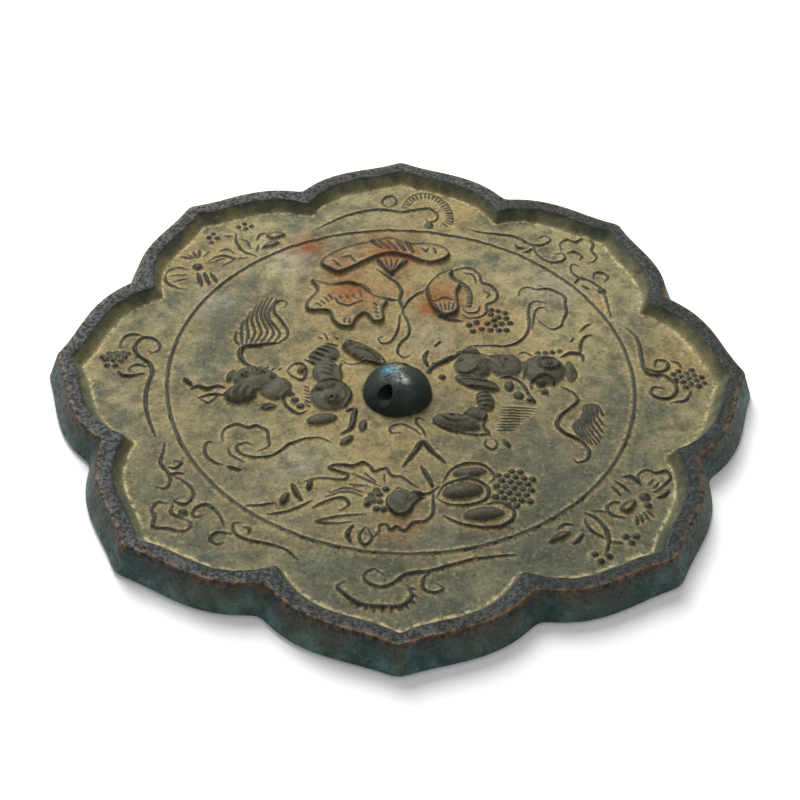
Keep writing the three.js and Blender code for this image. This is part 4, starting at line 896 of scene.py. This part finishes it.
# the rubbed parts shine a little through, the crust doesn't
most_worn = None
for mark in ("figures", "knob", "band", "crest", "wall"):
    worn = node("ShaderNodeAttribute", {}, attribute_name=mark).outputs["Fac"]
    most_worn = node("ShaderNodeMath", {0: worn, 1: most_worn or 0.0}, operation="MAXIMUM").outputs[0]
dulled = node("ShaderNodeMath", {0: most_worn, 1: shares["broken finely"]}, operation="MULTIPLY").outputs[0]
for socket, dull, bright in [("Roughness", 0.85, 0.48), ("Metallic", 0.0, 0.12)]:
    finish = node("ShaderNodeMapRange", {"Value": dulled, "To Min": dull, "To Max": bright})
    patina.node_tree.links.new(finish.outputs[0], shader.inputs[socket])

# crumbs and pits in the crust, up to about a third of a millimetre deep
CRUMB_DEPTH = 0.35
depth = node("ShaderNodeMath", {0: noises["grain"], 1: shares["pits"]}, operation="SUBTRACT").outputs[0]
rough = node("ShaderNodeBump", {"Height": depth, "Strength": 0.5, "Distance": CRUMB_DEPTH * MM})
patina.node_tree.links.new(rough.outputs[0], shader.inputs["Normal"])
casting_mesh.materials.clear()
casting_mesh.materials.append(patina)

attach(casting, "root")
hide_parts("mirror")

# ---------------------------------------------------------------------------------------------
# The floor: a pale sheet of matt studio paper, laid flat under the mirror and wide enough to
# run out of sight. It is not part of the mirror.

FLOOR_REACH = 3
floor_bm = bmesh.new()
bmesh.ops.create_grid(floor_bm, x_segments=1, y_segments=1, size=FLOOR_REACH)
floor_mesh = bpy.data.meshes.new("floor")
floor_bm.to_mesh(floor_mesh)
floor_bm.free()
floor = bpy.data.objects.new("floor", floor_mesh)
bpy.context.scene.collection.objects.link(floor)
paper = bpy.data.materials.new("studio_paper")
paper.use_nodes = True
paper.node_tree.nodes["Principled BSDF"].inputs["Base Color"].default_value = colour("#fdfdfc")
paper.node_tree.nodes["Principled BSDF"].inputs["Roughness"].default_value = 0.9
floor_mesh.materials.append(paper)

# ---------------------------------------------------------------------------------------------
# Camera and light: looked down on from the front at 44 degrees, in a white studio, lit by a
# soft light from behind and above with a weaker, broader one in front.

scene = bpy.context.scene
turned = Matrix.Rotation(CORD_BEARING, 3, "Z")
CAMERA_BEARING = CORD_BEARING - radians(1.62)
CAMERA_ELEVATION = radians(44.36)
CAMERA_ROLL = radians(2.44)
CAMERA_DISTANCE = 475.3
target = turned @ Vector((-0.5, -13.1, FIELD_HEIGHT)) * MM
back = Vector((sin(CAMERA_BEARING) * cos(CAMERA_ELEVATION), -cos(CAMERA_BEARING) * cos(CAMERA_ELEVATION),
               sin(CAMERA_ELEVATION)))
camera_data = bpy.data.cameras.new("camera")
camera_data.lens = 63.1
camera = bpy.data.objects.new("camera", camera_data)
camera.rotation_mode = "QUATERNION"
camera.location = target + back * CAMERA_DISTANCE * MM
roll = Matrix.Rotation(CAMERA_ROLL, 3, "Z").to_quaternion()
camera.rotation_quaternion = (-back).to_track_quat("-Z", "Y") @ roll
scene.collection.objects.link(camera)
scene.camera = camera

world = bpy.data.worlds.new("studio")
scene.world = world
world.use_nodes = True
world.node_tree.nodes["Background"].inputs["Color"].default_value = (1, 1, 1, 1)
world.node_tree.nodes["Background"].inputs["Strength"].default_value = 0.44
# each light's place and breadth in metres, and its power in watts
lights = [
    ("back light", (-0.25, 0.75, 0.85), 0.6, 17),
    ("front light", (0.2, -1.0, 0.9), 1.2, 2),
]
for name, place, size, power in lights:
    light_data = bpy.data.lights.new(name, "AREA")
    light_data.size = size
    light_data.energy = power
    light = bpy.data.objects.new(name, light_data)
    light.location = turned @ Vector(place)
    light.rotation_mode = "QUATERNION"
    light.rotation_quaternion = (-light.location).to_track_quat("-Z", "Y")
    scene.collection.objects.link(light)
scene.view_settings.view_transform = "Standard"
